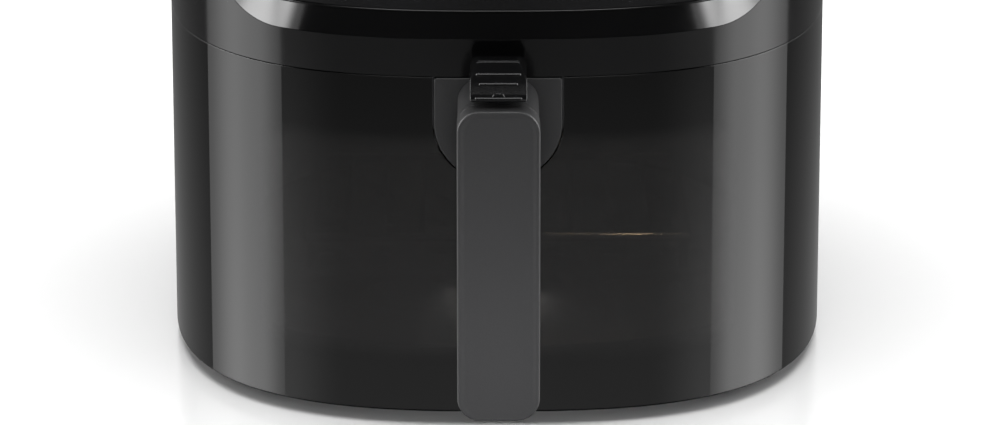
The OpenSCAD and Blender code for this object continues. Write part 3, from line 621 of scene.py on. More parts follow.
def group_edge_wear():
    """Mask that is high where the surface turns within the radius, broken up by noise."""
    tree, gin, gout = new_group("Edge wear", {"Amount": 0.5}, {"Mask": "Float"})
    turn = add(tree, "ShaderNodeBevel", {"Radius": 0.0006}, samples=4).outputs["Normal"]
    flat = tree.nodes.new("ShaderNodeNewGeometry").outputs["Normal"]
    same = add(tree, "ShaderNodeVectorMath", {0: turn, 1: flat}, operation="DOT_PRODUCT")
    edge = remap(tree, same.outputs["Value"], 0.995, 0.90)
    rub = add(tree, "ShaderNodeTexNoise", {"Vector": object_point(tree), "Scale": 120.0,
              "Detail": 4.0}).outputs["Fac"]
    mask = math_node(tree, "MULTIPLY", edge, remap(tree, rub, 0.4, 0.65))
    tree.links.new(math_node(tree, "MULTIPLY", mask, gin.outputs["Amount"]), gout.inputs["Mask"])
    return tree


def group_window_mask():
    """One inside a round-cornered rectangle of x and z, zero outside, with a soft border.
    The distance is |max(q, 0)| + min(max(qx, qz), 0) - r, where q = |p| - half size + r."""
    tree, gin, gout = new_group(
        "Window mask", {"Half Width": 0.1, "Low": 0.03, "High": 0.13, "Corner": 0.014,
                        "Fade": 0.01}, {"Mask": "Float"})
    xyz = add(tree, "ShaderNodeSeparateXYZ", {0: object_point(tree)})
    g = gin.outputs
    mid = math_node(tree, "MULTIPLY", math_node(tree, "ADD", g["Low"], g["High"]), 0.5)
    half = math_node(tree, "MULTIPLY", math_node(tree, "SUBTRACT", g["High"], g["Low"]), 0.5)

    def past(value, size):
        reach = math_node(tree, "SUBTRACT", math_node(tree, "ABSOLUTE", value), size)
        return math_node(tree, "ADD", reach, g["Corner"])

    qx = past(xyz.outputs["X"], g["Half Width"])
    qz = past(math_node(tree, "SUBTRACT", xyz.outputs["Z"], mid), half)
    out = math_node(tree, "SQRT", math_node(
        tree, "ADD", math_node(tree, "POWER", math_node(tree, "MAXIMUM", qx, 0.0), 2.0),
        math_node(tree, "POWER", math_node(tree, "MAXIMUM", qz, 0.0), 2.0)))
    inner = math_node(tree, "MINIMUM", math_node(tree, "MAXIMUM", qx, qz), 0.0)
    gap = math_node(tree, "SUBTRACT", math_node(tree, "ADD", out, inner), g["Corner"])
    share = math_node(tree, "DIVIDE", gap, g["Fade"])
    tree.links.new(remap(tree, share, -1.0, 0.0, 1.0, 0.0), gout.inputs["Mask"])
    return tree


GROUPS = {}


def build_groups():
    GROUPS.update(grain=group_moulded_grain(), handling=group_handling(),
                  brushing=group_brushing(), heat=group_heat_tint(), wear=group_edge_wear(),
                  window=group_window_mask())


def use(tree, name, **values):
    """Places a shared effect in a material with its own values and returns its outputs."""
    node = add(tree, "ShaderNodeGroup", node_tree=GROUPS[name])
    for key, value in values.items():
        node.inputs[key.replace("_", " ")].default_value = value
    return node.outputs


# ---------------------------------------------------------------- materials

MATERIALS = {}


def base_material(name, colour, roughness, metallic=0.0, **sockets):
    """Principled material with plain values; returns the material, its tree and its shader."""
    mat = bpy.data.materials.new(name)
    mat.use_nodes = True
    tree = mat.node_tree
    bsdf = tree.nodes["Principled BSDF"]
    bsdf.inputs["Base Color"].default_value = (*colour[:3], 1)
    bsdf.inputs["Roughness"].default_value = roughness
    bsdf.inputs["Metallic"].default_value = metallic
    for key, value in sockets.items():
        bsdf.inputs[key.replace("_", " ")].default_value = value
    MATERIALS[name] = mat
    return mat, tree, bsdf


def bump(tree, bsdf, height, distance, strength=1.0):
    node = add(tree, "ShaderNodeBump", {"Height": height, "Distance": distance,
                                        "Strength": strength})
    tree.links.new(node.outputs["Normal"], bsdf.inputs["Normal"])


def scaled_colour(tree, colour, tone):
    """The colour times a tone that changes over the surface."""
    node = add(tree, "ShaderNodeVectorMath", {0: tuple(colour[:3]), 1: tone}, operation="MULTIPLY")
    return node.outputs[0]


def plastic(name, colour, roughness, grain=0.0, scale=900.0, smear=0.08, dust=0.05, contrast=0.25,
            **sockets):
    """Moulded plastic: grain or a faint flow in the surface, wipe marks in its gloss, and dust."""
    mat, tree, bsdf = base_material(name, colour, roughness, **sockets)
    cells = use(tree, "grain", Scale=scale, Contrast=contrast)
    marks = use(tree, "handling", Amount=1.0, Scale=1.0)
    body = scaled_colour(tree, colour, cells["Tone"])
    dusty = mix_colour(tree, math_node(tree, "MULTIPLY", marks["Dust"], dust), body,
                       (0.45, 0.44, 0.42))
    tree.links.new(dusty, bsdf.inputs["Base Color"])
    rough = math_node(tree, "MULTIPLY_ADD", marks["Smear"], smear, roughness)
    tree.links.new(rough, bsdf.inputs["Roughness"])
    if grain:
        bump(tree, bsdf, cells["Height"], grain)
    else:
        flow = add(tree, "ShaderNodeTexNoise", {"Vector": object_point(tree), "Scale": 22.0,
                   "Detail": 1.0}).outputs["Fac"]
        bump(tree, bsdf, flow, 0.00006)
    return mat


def metal(name, colour, roughness, scale=500.0, stretch=0.03, depth=0.00002, wear=0.0,
          metallic=1.0):
    """Sheet or wire metal: drawn-out lines in height and gloss, and clouded tone."""
    mat, tree, bsdf = base_material(name, colour, roughness, metallic)
    lines = use(tree, "brushing", Scale=scale, Stretch=stretch)
    tone = math_node(tree, "MULTIPLY_ADD", lines["Tone"], 0.35, 0.82)
    shaded = scaled_colour(tree, colour, tone)
    if wear:
        edge = use(tree, "wear", Amount=wear)["Mask"]
        shaded = mix_colour(tree, edge, shaded, (0.75, 0.75, 0.76))
    tree.links.new(shaded, bsdf.inputs["Base Color"])
    rough = math_node(tree, "MULTIPLY_ADD", lines["Tone"], 0.18, roughness - 0.07)
    tree.links.new(rough, bsdf.inputs["Roughness"])
    bump(tree, bsdf, lines["Height"], depth)
    return mat


def coated(name, colour):
    """Non-stick coating on pressed steel: fine flecks, an orange-peel surface and rubbed edges."""
    mat, tree, bsdf = base_material(name, colour, 0.36, Coat_Weight=0.25, Coat_Roughness=0.3)
    cells = use(tree, "grain", Scale=520.0, Contrast=0.6)
    fleck = add(tree, "ShaderNodeTexVoronoi", {"Vector": object_point(tree), "Scale": 700.0})
    bright = remap(tree, fleck.outputs["Distance"], 0.16, 0.05)
    body = mix_colour(tree, math_node(tree, "MULTIPLY", bright, 0.35),
                      scaled_colour(tree, colour, cells["Tone"]), (0.12, 0.12, 0.125))
    worn = mix_colour(tree, use(tree, "wear", Amount=0.35)["Mask"], body, (0.16, 0.155, 0.15))
    tree.links.new(worn, bsdf.inputs["Base Color"])
    marks = use(tree, "handling", Amount=1.0, Scale=1.4)
    tree.links.new(math_node(tree, "MULTIPLY_ADD", marks["Smear"], 0.16, 0.34),
                   bsdf.inputs["Roughness"])
    bump(tree, bsdf, cells["Height"], 0.00005)
    return mat


def heated(name, colour, roughness, amount):
    """Steel that heat has tinted."""
    mat, tree, bsdf = base_material(name, colour, roughness, 1.0)
    tint = use(tree, "heat", Amount=amount, Base=(*colour, 1))
    tree.links.new(tint["Colour"], bsdf.inputs["Base Color"])
    tree.links.new(math_node(tree, "MULTIPLY_ADD", tint["Mask"], 0.25, roughness - 0.12),
                   bsdf.inputs["Roughness"])
    lines = use(tree, "brushing", Scale=350.0, Stretch=1.0)
    bump(tree, bsdf, lines["Height"], 0.00003)
    return mat


def lens_material(settings):
    """Smoked glass, clear behind the window and printed black round it."""
    mat, tree, bsdf = base_material("Smoked drawer glass", (0, 0, 0), 0.02,
                                    Transmission_Weight=1.0, IOR=1.5)
    mask = use(tree, "window", Half_Width=WINDOW_HW, Low=WINDOW_Z, High=WINDOW_TOP,
               Corner=WINDOW_R, Fade=settings.window_fade)["Mask"]
    marks = use(tree, "handling", Amount=1.0, Scale=0.8)
    clear = mix_colour(tree, math_node(tree, "MULTIPLY", marks["Smear"], 0.12),
                       tuple(settings.window_tint), (0.40, 0.39, 0.38))
    tree.links.new(mix_colour(tree, mask, (0.0004, 0.0004, 0.0004), clear),
                   bsdf.inputs["Base Color"])
    tree.links.new(math_node(tree, "MULTIPLY_ADD", marks["Smear"], 0.03, 0.03),
                   bsdf.inputs["Roughness"])
    return mat


def clear_glass(name, colour=(0.93, 0.95, 0.95), roughness=0.01):
    mat, tree, bsdf = base_material(name, colour, roughness, Transmission_Weight=1.0, IOR=1.47)
    marks = use(tree, "handling", Amount=1.0, Scale=0.7)
    tree.links.new(math_node(tree, "MULTIPLY_ADD", marks["Smear"], 0.05, roughness),
                   bsdf.inputs["Roughness"])
    tree.links.new(mix_colour(tree, math_node(tree, "MULTIPLY", marks["Smear"], 0.15), colour,
                              tuple(0.8 * c for c in colour)), bsdf.inputs["Base Color"])
    return mat


def panel_print_material(settings):
    """Pale symbols that shine faintly through the touch glass, a little uneven."""
    mat, tree, bsdf = base_material("Panel symbols", (0.55, 0.57, 0.6), 0.35)
    noise = add(tree, "ShaderNodeTexNoise", {"Vector": object_point(tree), "Scale": 300.0,
                "Detail": 2.0}).outputs["Fac"]
    tone = remap(tree, noise, 0.3, 0.7, 0.85, 1.0)
    colour = scaled_colour(tree, (0.72, 0.80, 0.88), tone)
    tree.links.new(colour, bsdf.inputs["Base Color"])
    tree.links.new(colour, bsdf.inputs["Emission Color"])
    bsdf.inputs["Emission Strength"].default_value = settings.print_light
    return mat


def board_material():
    """Green solder mask with fine copper tracks under it."""
    mat, tree, bsdf = base_material("Circuit board", (0.02, 0.13, 0.06), 0.35)
    tracks = add(tree, "ShaderNodeTexBrick", {"Vector": object_point(tree), "Scale": 160.0,
                 "Mortar Size": 0.03, "Color1": (0.015, 0.11, 0.05, 1),
                 "Color2": (0.02, 0.15, 0.07, 1), "Mortar": (0.05, 0.26, 0.12, 1)})
    tree.links.new(tracks.outputs["Color"], bsdf.inputs["Base Color"])
    bump(tree, bsdf, tracks.outputs["Fac"], 0.00003)
    return mat


def winding_material():
    """Enamelled copper laid turn on turn: fine bands that catch the light."""
    mat, tree, bsdf = base_material("Enamelled copper", (0.55, 0.23, 0.09), 0.3, 1.0)
    turns = add(tree, "ShaderNodeTexWave", {"Vector": object_point(tree), "Scale": 260.0,
                "Distortion": 0.6}, bands_direction="Z")
    tree.links.new(mix_colour(tree, turns.outputs["Fac"], (0.32, 0.11, 0.04), (0.68, 0.32, 0.13)),
                   bsdf.inputs["Base Color"])
    bump(tree, bsdf, turns.outputs["Fac"], 0.0002)
    return mat


def build_materials(scene):
    """All finishes, by name, with the values in the settings."""
    build_groups()
    body, drawer, handle = scene.fryer_body, scene.fryer_drawer, scene.fryer_handle
    shell = tuple(body.body_colour)
    plastic("Gloss housing", shell, body.body_roughness, smear=0.05, contrast=0.15)
    plastic("Panel trim", (0.0015, 0.0015, 0.0016), 0.09, smear=0.04)
    plastic("Touch glass", (0.0035, 0.0035, 0.0038), 0.035, smear=0.05)
    plastic("Inner plastic", (0.020, 0.020, 0.021), 0.42, grain=0.00008, scale=1100.0)
    plastic("Soft-touch grip", tuple(handle.grip_colour), 0.46, grain=0.00005, scale=2600.0,
            smear=0.07, dust=0.03)
    plastic("Gloss button", (0.002, 0.002, 0.0022), 0.12, smear=0.05)
    plastic("Rubber", (0.014, 0.014, 0.014), 0.62, grain=0.00008, scale=1500.0, dust=0.25)
    plastic("White ceramic", (0.72, 0.69, 0.62), 0.3, grain=0.00003, contrast=0.1)
    plastic("Component cases", (0.05, 0.05, 0.055), 0.4, grain=0.00005)
    plastic("Varnished laminations", (0.10, 0.10, 0.11), 0.45, grain=0.00006, scale=700.0)
    coated("Non-stick coating", tuple(drawer.coating_colour))
    metal("Zinc-coated steel", (0.52, 0.53, 0.54), 0.34)
    metal("Plated wire", (0.70, 0.71, 0.73), 0.17, scale=300.0, stretch=1.0)
    metal("Fan aluminium", (0.66, 0.67, 0.68), 0.38, scale=420.0, stretch=0.2)
    metal("Sintered bronze", (0.55, 0.38, 0.19), 0.45, scale=900.0, stretch=1.0, depth=0.00005)
    metal("Stainless probe", (0.62, 0.62, 0.62), 0.25)
    heated("Heater sheath", (0.26, 0.24, 0.23), 0.42, 0.75)
    heated("Chamber steel", (0.42, 0.41, 0.40), 0.40, 0.3)
    lens_material(drawer)
    clear_glass("Clear glass")
    panel_print_material(body)
    board_material()
    winding_material()


NODE_FINISH = {
    "Inner plastic": ("panel_carrier", "drawer_frame", "drawer_switch"),
    "Rubber": ("plate_bumpers",),
    "Zinc-coated steel": ("foot_screws", "latch_strike", "handle_bracket", "handle_screws",
                          "latch_pin", "latch_spring", "motor_brackets", "motor_posts",
                          "element_brackets", "air_duct"),
    "Plated wire": ("motor_shaft", "fan_nut", "latch_hook"),
    "Fan aluminium": ("cooling_fan",),
    "Chamber steel": ("inner_liner",),
    "Varnished laminations": ("motor_stator", "rotor_core"),
    "Enamelled copper": ("motor_windings",),
    "Sintered bronze": ("shaft_bushes",),
    "Stainless probe": ("temperature_sensor",),
    "White ceramic": ("thermal_cutout", "lamp_holder"),
    "Circuit board": ("display_board", "power_board"),
    "Component cases": ("board_parts",),
    "Clear glass": ("lamp_bulb", "lamp_cover"),
}


# ---------------------------------------------------------------- operators

class FRYER_OT_finishes(bpy.types.Operator):
    """Makes the finishes and gives them to the nodes that keep their own shape"""
    bl_idname = "fryer.finishes"
    bl_label = "Finishes"

    def execute(self, context):
        build_materials(context.scene)
        for finish, nodes in NODE_FINISH.items():
            for node in nodes:
                mesh = frame["nodes"][node].data
                mesh.materials.clear()
                mesh.materials.append(MATERIALS[finish])
        return {"FINISHED"}


class FRYER_OT_housing(bpy.types.Operator):
    """Makes the outer skin of the head and the rear wall"""
    bl_idname = "fryer.housing"
    bl_label = "Housing"

    def execute(self, context):
        theta = np.linspace(0, 2 * math.pi, 720, endpoint=False)
        profile = box_profile(0, WALL, BASE_Z, COVER_Z,
                              (1.2 * MM, 0.5 * MM, 0.3 * MM, 0.3 * MM))
        x, y = outline(theta[:, None], profile[None, :, 0])
        z = np.broadcast_to(profile[None, :, 1], x.shape)
        skin_obj = make("housing_skin", [torus_skin(np.stack([x, y, z], -1))])
        front = block((-0.3, -0.4, -0.1), (0.3, SPLIT_Y + 0.8 * MM, SEAM_Z))
        recess = front_cutter(loop(RECESS_HW, RECESS_Z, RECESS_TOP, RECESS_R, RECESS_R, 2, 28),
                              -0.4, AXIS_Y - HALF_D / 3)
        holes = []
        for node, grow in (("rear_vent", 0.1 * MM), ("intake_grille", 0.1 * MM)):
            low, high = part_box(node)
            holes.append(front_cutter(
                loop(high.x + grow, low.z - grow, high.z + grow, 3 * MM, 3 * MM, 2, 5),
                AXIS_Y + HALF_D - 0.02, AXIS_Y + HALF_D + 0.01))
        low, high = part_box("cord_gland")
        t = np.linspace(0, 2 * math.pi, 40, endpoint=False)
        bore = np.stack([8.05 * MM * np.cos(t), (low.z + high.z) / 2 + 8.05 * MM * np.sin(t)], 1)
        holes.append(front_cutter(bore, AXIS_Y + HALF_D - 0.02, AXIS_Y + HALF_D + 0.01))
        cut(skin_obj, front, recess, *holes)
        rounded_edges(skin_obj, context.scene.fryer_body.edge_round, 3, 50)
        wall_normals(shade(skin_obj, 30))
        place(skin_obj, "housing", "shell", MATERIALS["Gloss housing"], "housing_shell")
        return {"FINISHED"}


class FRYER_OT_cover(bpy.types.Operator):
    """Makes the crowned top cover"""
    bl_idname = "fryer.cover"
    bl_label = "Top cover"

    def execute(self, context):
        theta = np.linspace(0, 2 * math.pi, 360, endpoint=False)
        radius, wall = 18 * MM, WALL
        arc = np.radians(np.linspace(0, 87.5, 14))
        rise = TOP_Z - (COVER_Z + 1 * MM + radius * math.sin(arc[-1]))

        def crown(shares, drop):
            return [(HALF_W * (1 - k), TOP_Z - drop - rise * k * k / 0.78) for k in shares]

        shares = np.linspace(0.84, 0.02, 16)
        profile = [(0.4 * MM, COVER_Z), (0.08 * MM, COVER_Z + 0.1 * MM), (0, COVER_Z + 0.45 * MM)]
        profile += [(radius * (1 - math.cos(a)), COVER_Z + 1 * MM + radius * math.sin(a))
                    for a in arc]
        profile += crown(shares, 0)
        under = crown(shares[::-1], wall)
        inner = radius - wall
        under += [(wall + inner * (1 - math.cos(a)), COVER_Z + 1 * MM + inner * math.sin(a))
                  for a in arc[::-1]]
        under.append((wall, COVER_Z))
        profile = np.array(profile + under)
        x, y = outline(theta[None, :], profile[:, None, 0])
        z = np.broadcast_to(profile[:, None, 1], x.shape)
        rings = np.stack([x, y, z], -1)
        n_out = len(profile) - len(under)
        m, n = rings.shape[:2]
        faces = (quads(m + 1, n) % (m * n)).tolist()
        centre = (n_out - 1) * n
        faces = [f for f in faces if not (f[0] // n == n_out - 1 and f[3] // n == n_out)]
        faces += [list(range(centre, centre + n)), list(range(centre + n, centre + 2 * n))]
        cover = make("crowned_cover", [(rings.reshape(-1, 3), faces)])
        shade(cover, 30)
        place(cover, "housing", "shell", MATERIALS["Gloss housing"], "top_cover")
        return {"FINISHED"}


class FRYER_OT_panel(bpy.types.Operator):
    """Makes the bevel, the touch glass and its symbols"""
    bl_idname = "fryer.panel"
    bl_label = "Control panel"

    def execute(self, context):
        def recess(d, side=60, corner=20):
            r = RECESS_R - d
            return loop(RECESS_HW - d, RECESS_Z + d, RECESS_TOP - d, r, r, side, corner)

        t = np.linspace(0, 1, 8)
        (d0, w0), (d1, w1) = ((0.12 * MM, 0.25 * MM), (BEVEL_W - 0.9 * MM, PANEL_DEPTH - 0.3 * MM))
        profile = [(d0 * (1 - u) + d1 * u, w0 * (1 - u) + w1 * u) for u in t]
        bead = 0.5 * MM
        profile += [(d1 + bead * (1 - math.cos(a)), w1 - bead * math.sin(a))
                    for a in np.linspace(0.3, 3.14, 9)]
        back = PANEL_DEPTH + 1.6 * MM
        profile += [(d1 + 2 * bead, back), (d0, back)]
        rings = plate_rings(recess, profile, front_at)
        bezel = make("panel_bevel", [torus_skin(rings)])
        wall_normals(shade(bezel, 40))
        place(bezel, "housing", "panel_trim", MATERIALS["Panel trim"], "panel_bezel")

        half = (RECESS_TOP - RECESS_Z) / 2 - 0.2 * MM
        inward = np.linspace(BEVEL_W + 0.6 * MM, half, 22)
        far = PANEL_DEPTH + 2.4 * MM
        front = [(BEVEL_W + d, PANEL_FACE + w) for d, w in rounded(0.3 * MM, 3)]
        back = [(d, far) for d in inward[::-1]] + [(BEVEL_W, far)]
        profile = back + front + [(d, PANEL_FACE) for d in inward]
        glass = make("touch_glass", [skin(plate_rings(recess, profile, front_at))])
        wall_normals(shade(glass, 30))
        place(glass, "housing", "panel_glass", MATERIALS["Touch glass"], "panel_glass")

        symbols = make("panel_symbols", panel_symbols())
        mod = symbols.modifiers.new("thickness", "SOLIDIFY")
        mod.thickness = 0.04 * MM
        mod.offset = 0
        settle(symbols)
        place(symbols, "housing", "panel_glass", MATERIALS["Panel symbols"])
        return {"FINISHED"}


def ribbon(points, width, closed=False):
    """Flat stroke of even width on the touch glass, along a line of (x, z) points."""
    p = np.asarray(points, float) * MM
    fine = []
    steps = list(zip(p, np.roll(p, -1, 0))) if closed else list(zip(p[:-1], p[1:]))
    for q, r in steps:
        count = max(2, int(np.linalg.norm(r - q) / (2.5 * MM)) + 1)
        fine.append(np.linspace(q, r, count, endpoint=False))
    fine.append(steps[-1][1][None])
    p = np.concatenate(fine)
    step = np.gradient(p, axis=0)
    if closed:
        step[0] = step[-1] = p[1] - p[-2]
    step /= np.linalg.norm(step, axis=1)[:, None] + 1e-12
    side = np.stack([-step[:, 1], step[:, 0]], 1) * width * MM / 2
    rows = np.stack([p - side, p + side])
    y = front_at(rows[..., 0], PANEL_FACE) - 0.03 * MM
    verts = np.stack([rows[..., 0], y, rows[..., 1]], -1)
    return verts.reshape(-1, 3), quads(2, len(p), around=False).tolist()


def arc_points(cx, cz, r, start=0, end=360, count=28):
    t = np.radians(np.linspace(start, end, count))
    return np.stack([cx + r * np.cos(t), cz + r * np.sin(t)], 1)


SEGMENTS = {"1": "bc", "2": "abged", "8": "abcdefg", "0": "abcdef"}


def digit(char, x, z, w=7.5, h=14.0, stroke=1.3):
    """Seven-segment figure with its low left corner at (x, z)."""
    e = 0.9
    lines = {"a": ((e, h), (w - e, h)), "g": ((e, h / 2), (w - e, h / 2)),
             "d": ((e, 0), (w - e, 0)),
             "f": ((0, h / 2 + e), (0, h - e)), "b": ((w, h / 2 + e), (w, h - e)),
             "e": ((0, e), (0, h / 2 - e)), "c": ((w, e), (w, h / 2 - e))}
    return [ribbon([(x + a, z + b) for a, b in lines[s]], stroke) for s in SEGMENTS[char]]


def panel_symbols():
    """Strokes of the read-out and of a row of plain symbols, laid on the curved glass."""
    low = RECESS_Z / MM
    parts = []
    for k, char in enumerate("180"):
        parts += digit(char, -40 + 11 * k, low + 66)
    parts.append(ribbon(arc_points(-5.5, low + 79.5, 1.3), 0.5))
    for k, char in enumerate("20"):
        parts += digit(char, 14 + 11 * k, low + 66)
    for x in (-62, 62):
        parts.append(ribbon(arc_points(x, low + 73, 6.5), 0.6))
        parts.append(ribbon([(x - 3, low + 73), (x + 3, low + 73)], 0.7))
    parts.append(ribbon([(62, low + 70), (62, low + 76)], 0.7))
    spots = np.linspace(-78, 78, 7)
    for x in spots:
        parts.append(ribbon(arc_points(x, low + 36, 8), 0.35))
    z = low + 36
    parts.append(ribbon(arc_points(spots[3], z, 4, 125, 415), 0.8))
    parts.append(ribbon([(spots[3], z + 1), (spots[3], z + 5)], 0.8))
    for a in (90, 210, 330):
        c = np.radians(a)
        parts.append(ribbon(arc_points(spots[0] + 2.2 * math.cos(c), z + 2.2 * math.sin(c), 2.1,
                                       a - 90, a + 130, 14), 0.6))
    parts.append(ribbon(arc_points(spots[1], z, 3.8), 0.6))
    parts.append(ribbon([(spots[1], z + 2.4), (spots[1], z), (spots[1] + 2, z - 1.2)], 0.6))
    for k in (-2.4, 0, 2.4):
        parts.append(ribbon([(spots[2] + k + 0.6 * math.sin(t), z - 3.4 + t) for t in
                             np.linspace(0, 6.8, 9)], 0.6))
    parts.append(ribbon([(spots[4] - 3.6, z - 2.6), (spots[4] + 3.6, z - 2.6),
                         (spots[4] + 2.6, z + 2.8), (spots[4] - 2.6, z + 2.8),
                         (spots[4] - 3.6, z - 2.6)], 0.6))
    parts.append(ribbon(arc_points(spots[5], z - 0.6, 3.2, -60, 240), 0.6))
    parts.append(ribbon([(spots[5] - 1.6, z - 3.4), (spots[5] + 1.6, z - 3.4)], 0.6))
    parts.append(ribbon(arc_points(spots[6], z - 0.8, 2.8, 150, 390), 0.6))
    parts.append(ribbon([(spots[6] - 2.45, z + 0.6), (spots[6], z + 4.2),
                         (spots[6] + 2.45, z + 0.6)], 0.6))
    return parts


class FRYER_OT_lens(bpy.types.Operator):
    """Makes the smoked front of the drawer"""
    bl_idname = "fryer.lens"
    bl_label = "Drawer front"

    def execute(self, context):
        reach = math.asin((SPLIT_Y - AXIS_Y) / HALF_W)
        theta = np.linspace(-math.pi - reach, reach, 420)
        profile = box_profile(0, LENS_THICK, LENS_LOW.z, LENS_HIGH.z,
                              (1.0 * MM, 0.15 * MM, 0.15 * MM, 0.2 * MM), 5)
        x, y = outline(theta[:, None], profile[None, :, 0])
        z = np.broadcast_to(profile[None, :, 1], x.shape)
        front = make("smoked_front", [skin(np.stack([x, y, z], -1))])
        grow = 0.9 * MM
        notch = front_cutter(
            loop(MOUNT_HIGH.x + grow, MOUNT_LOW.z - grow, MOUNT_HIGH.z + 20 * MM,
                 MOUNT_R + grow, 1 * MM, 2, 24), -0.4, AXIS_Y - HALF_D / 2)
        cut(front, notch)
        wall_normals(shade(front, 30))
        place(front, "drawer", "lens", MATERIALS["Smoked drawer glass"], "front_lens")
        return {"FINISHED"}


class FRYER_OT_window(bpy.types.Operator):
    """Makes the inner glass and the seal round it"""
    bl_idname = "fryer.window"
    bl_label = "Inner glass and seal"

    def execute(self, context):
        low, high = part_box("inner_glass")
        r = WINDOW_R + 6 * MM

        def pane(d, side=40, corner=12):
            return loop(high.x - d, low.z + d, high.z - d, r - d, r - d, side, corner)

        half = (high.z - low.z) / 2
        near, far = 6.5 * MM, 9.3 * MM
        inward = np.linspace(0.5 * MM, half, 22)
        profile = ([(d, far) for d in inward[::-1]] + [(0, far - 0.4 * MM), (0, near + 0.4 * MM)]
                   + [(d, near) for d in inward])
        glass = make("inner_pane", [skin(plate_rings(pane, profile, front_at))])
        wall_normals(shade(glass, 30))
        place(glass, "drawer", "clear_glass", MATERIALS["Clear glass"], "inner_glass")

        profile = [(0, 9.45 * MM), (0, 11.3 * MM), (0.6 * MM, 11.8 * MM), (5.0 * MM, 11.8 * MM),
                   (5.9 * MM, 11.2 * MM), (5.9 * MM, 9.9 * MM), (5.2 * MM, 9.45 * MM)]
        seal = make("window_gasket", [torus_skin(plate_rings(pane, profile, front_at))])
        wall_normals(shade(seal, 50))
        place(seal, "drawer", "rubber", MATERIALS["Rubber"], "window_seal")
        return {"FINISHED"}


class FRYER_OT_pan(bpy.types.Operator):
    """Makes the coated pan with its rolled rim and round bottom edge"""
    bl_idname = "fryer.pan"
    bl_label = "Pan"

    def execute(self, context):
        theta = np.linspace(0, 2 * math.pi, 360, endpoint=False)
        bottom, top = PAN_LOW.z, PAN_HIGH.z
        round_r, t = 9 * MM, PAN_T
        arc = np.linspace(0, math.pi / 2, 8)

        def floor(shares, z):
            return [(-PAN_HW * (1 - k), z) for k in shares]

        shares = np.linspace(0.02, 0.9, 8)
        outer = floor(shares, bottom)
        outer += [(-round_r * (1 - math.sin(a)), bottom + round_r * (1 - math.cos(a)))
                  for a in arc]
        outer += [(0, RIM_Z - 1.2 * MM), (0.3 * MM, RIM_Z - 0.4 * MM), (1.1 * MM, RIM_Z)]
        outer += [(6.3 * MM, RIM_Z), (6.9 * MM, RIM_Z + 0.4 * MM), (6.9 * MM, top - 0.4 * MM),
                  (6.3 * MM, top)]
        inner = [(0.6 * MM, top), (-0.7 * MM, top - 0.5 * MM), (-t, top - 1.6 * MM)]
        small = round_r - t
        inner += [(-t - small * (1 - math.sin(a)), bottom + t + small * (1 - math.cos(a)))
                  for a in arc[::-1]]
        inner += floor(shares[::-1], bottom + t)
        profile = np.array(outer + inner)
        x, y = pan_outline(theta[None, :], profile[:, None, 0])
        a, b = HALF_W - 6.4 * MM, HALF_D - 6.4 * MM
        past = ((np.abs(x) / a) ** POWER + (np.abs(y - AXIS_Y) / b) ** POWER) ** (1 / POWER)
        past = np.where(y < AXIS_Y + 0.02, np.maximum(past, 1), 1)
        x, y = x / past, AXIS_Y + (y - AXIS_Y) / past
        z = np.broadcast_to(profile[:, None, 1], x.shape)
        pan = make("coated_pan", [skin(np.stack([x, y, z], -1))])
        hole = front_cutter(loop(WINDOW_HW, WINDOW_Z, WINDOW_TOP, WINDOW_R, WINDOW_R, 2, 10),
                            -0.4, PAN_Y - PAN_HD / 3)
        channel = block((-4.7 * MM, -0.4, RIM_Z - 1 * MM), (4.7 * MM, FRONT_Y + 11.9 * MM, 0.2))
        cut(pan, hole, channel)
        shade(pan, 35)
        place(pan, "drawer", "nonstick", MATERIALS["Non-stick coating"], "drawer_pan")
        return {"FINISHED"}


def latch_room(y0, y1, top=LATCH_TOP):
    """Room for the hook inside the handle, used only to cut with."""
    return block((-LATCH_HW, y0, LATCH_LOW), (LATCH_HW, y1, top))


class FRYER_OT_mount(bpy.types.Operator):
    """Makes the plate that carries the handle"""
    bl_idname = "fryer.mount"
    bl_label = "Mount plate"

    def execute(self, context):
        thick = MOUNT_HIGH.y - MOUNT_LOW.y

        def shield(d):
            return loop(MOUNT_HIGH.x - d, MOUNT_LOW.z + d, MOUNT_HIGH.z - d, MOUNT_R - d,
                        max(1.2 * MM - d, 0.2 * MM), 6, 20)

        middle = [8 * MM, MOUNT_HIGH.x - 3 * MM, MOUNT_HIGH.x - 0.5 * MM]
        edge = rounded(0.3 * MM, 3)
        profile = ([(d, thick) for d in middle[::-1]] + [(0.2 * MM, thick), (0, thick - 0.2 * MM)]
                   + edge + [(d, 0) for d in middle])
        plate = make("handle_shield", [skin(plate_rings(
            shield, profile, lambda x, w: np.full(len(x), MOUNT_LOW.y + w)))])
        cut(plate, latch_room(-0.4, 0.4))
        shade(plate, 35)
        place(plate, "drawer", "grip", MATERIALS["Soft-touch grip"], "handle_mount")
        return {"FINISHED"}


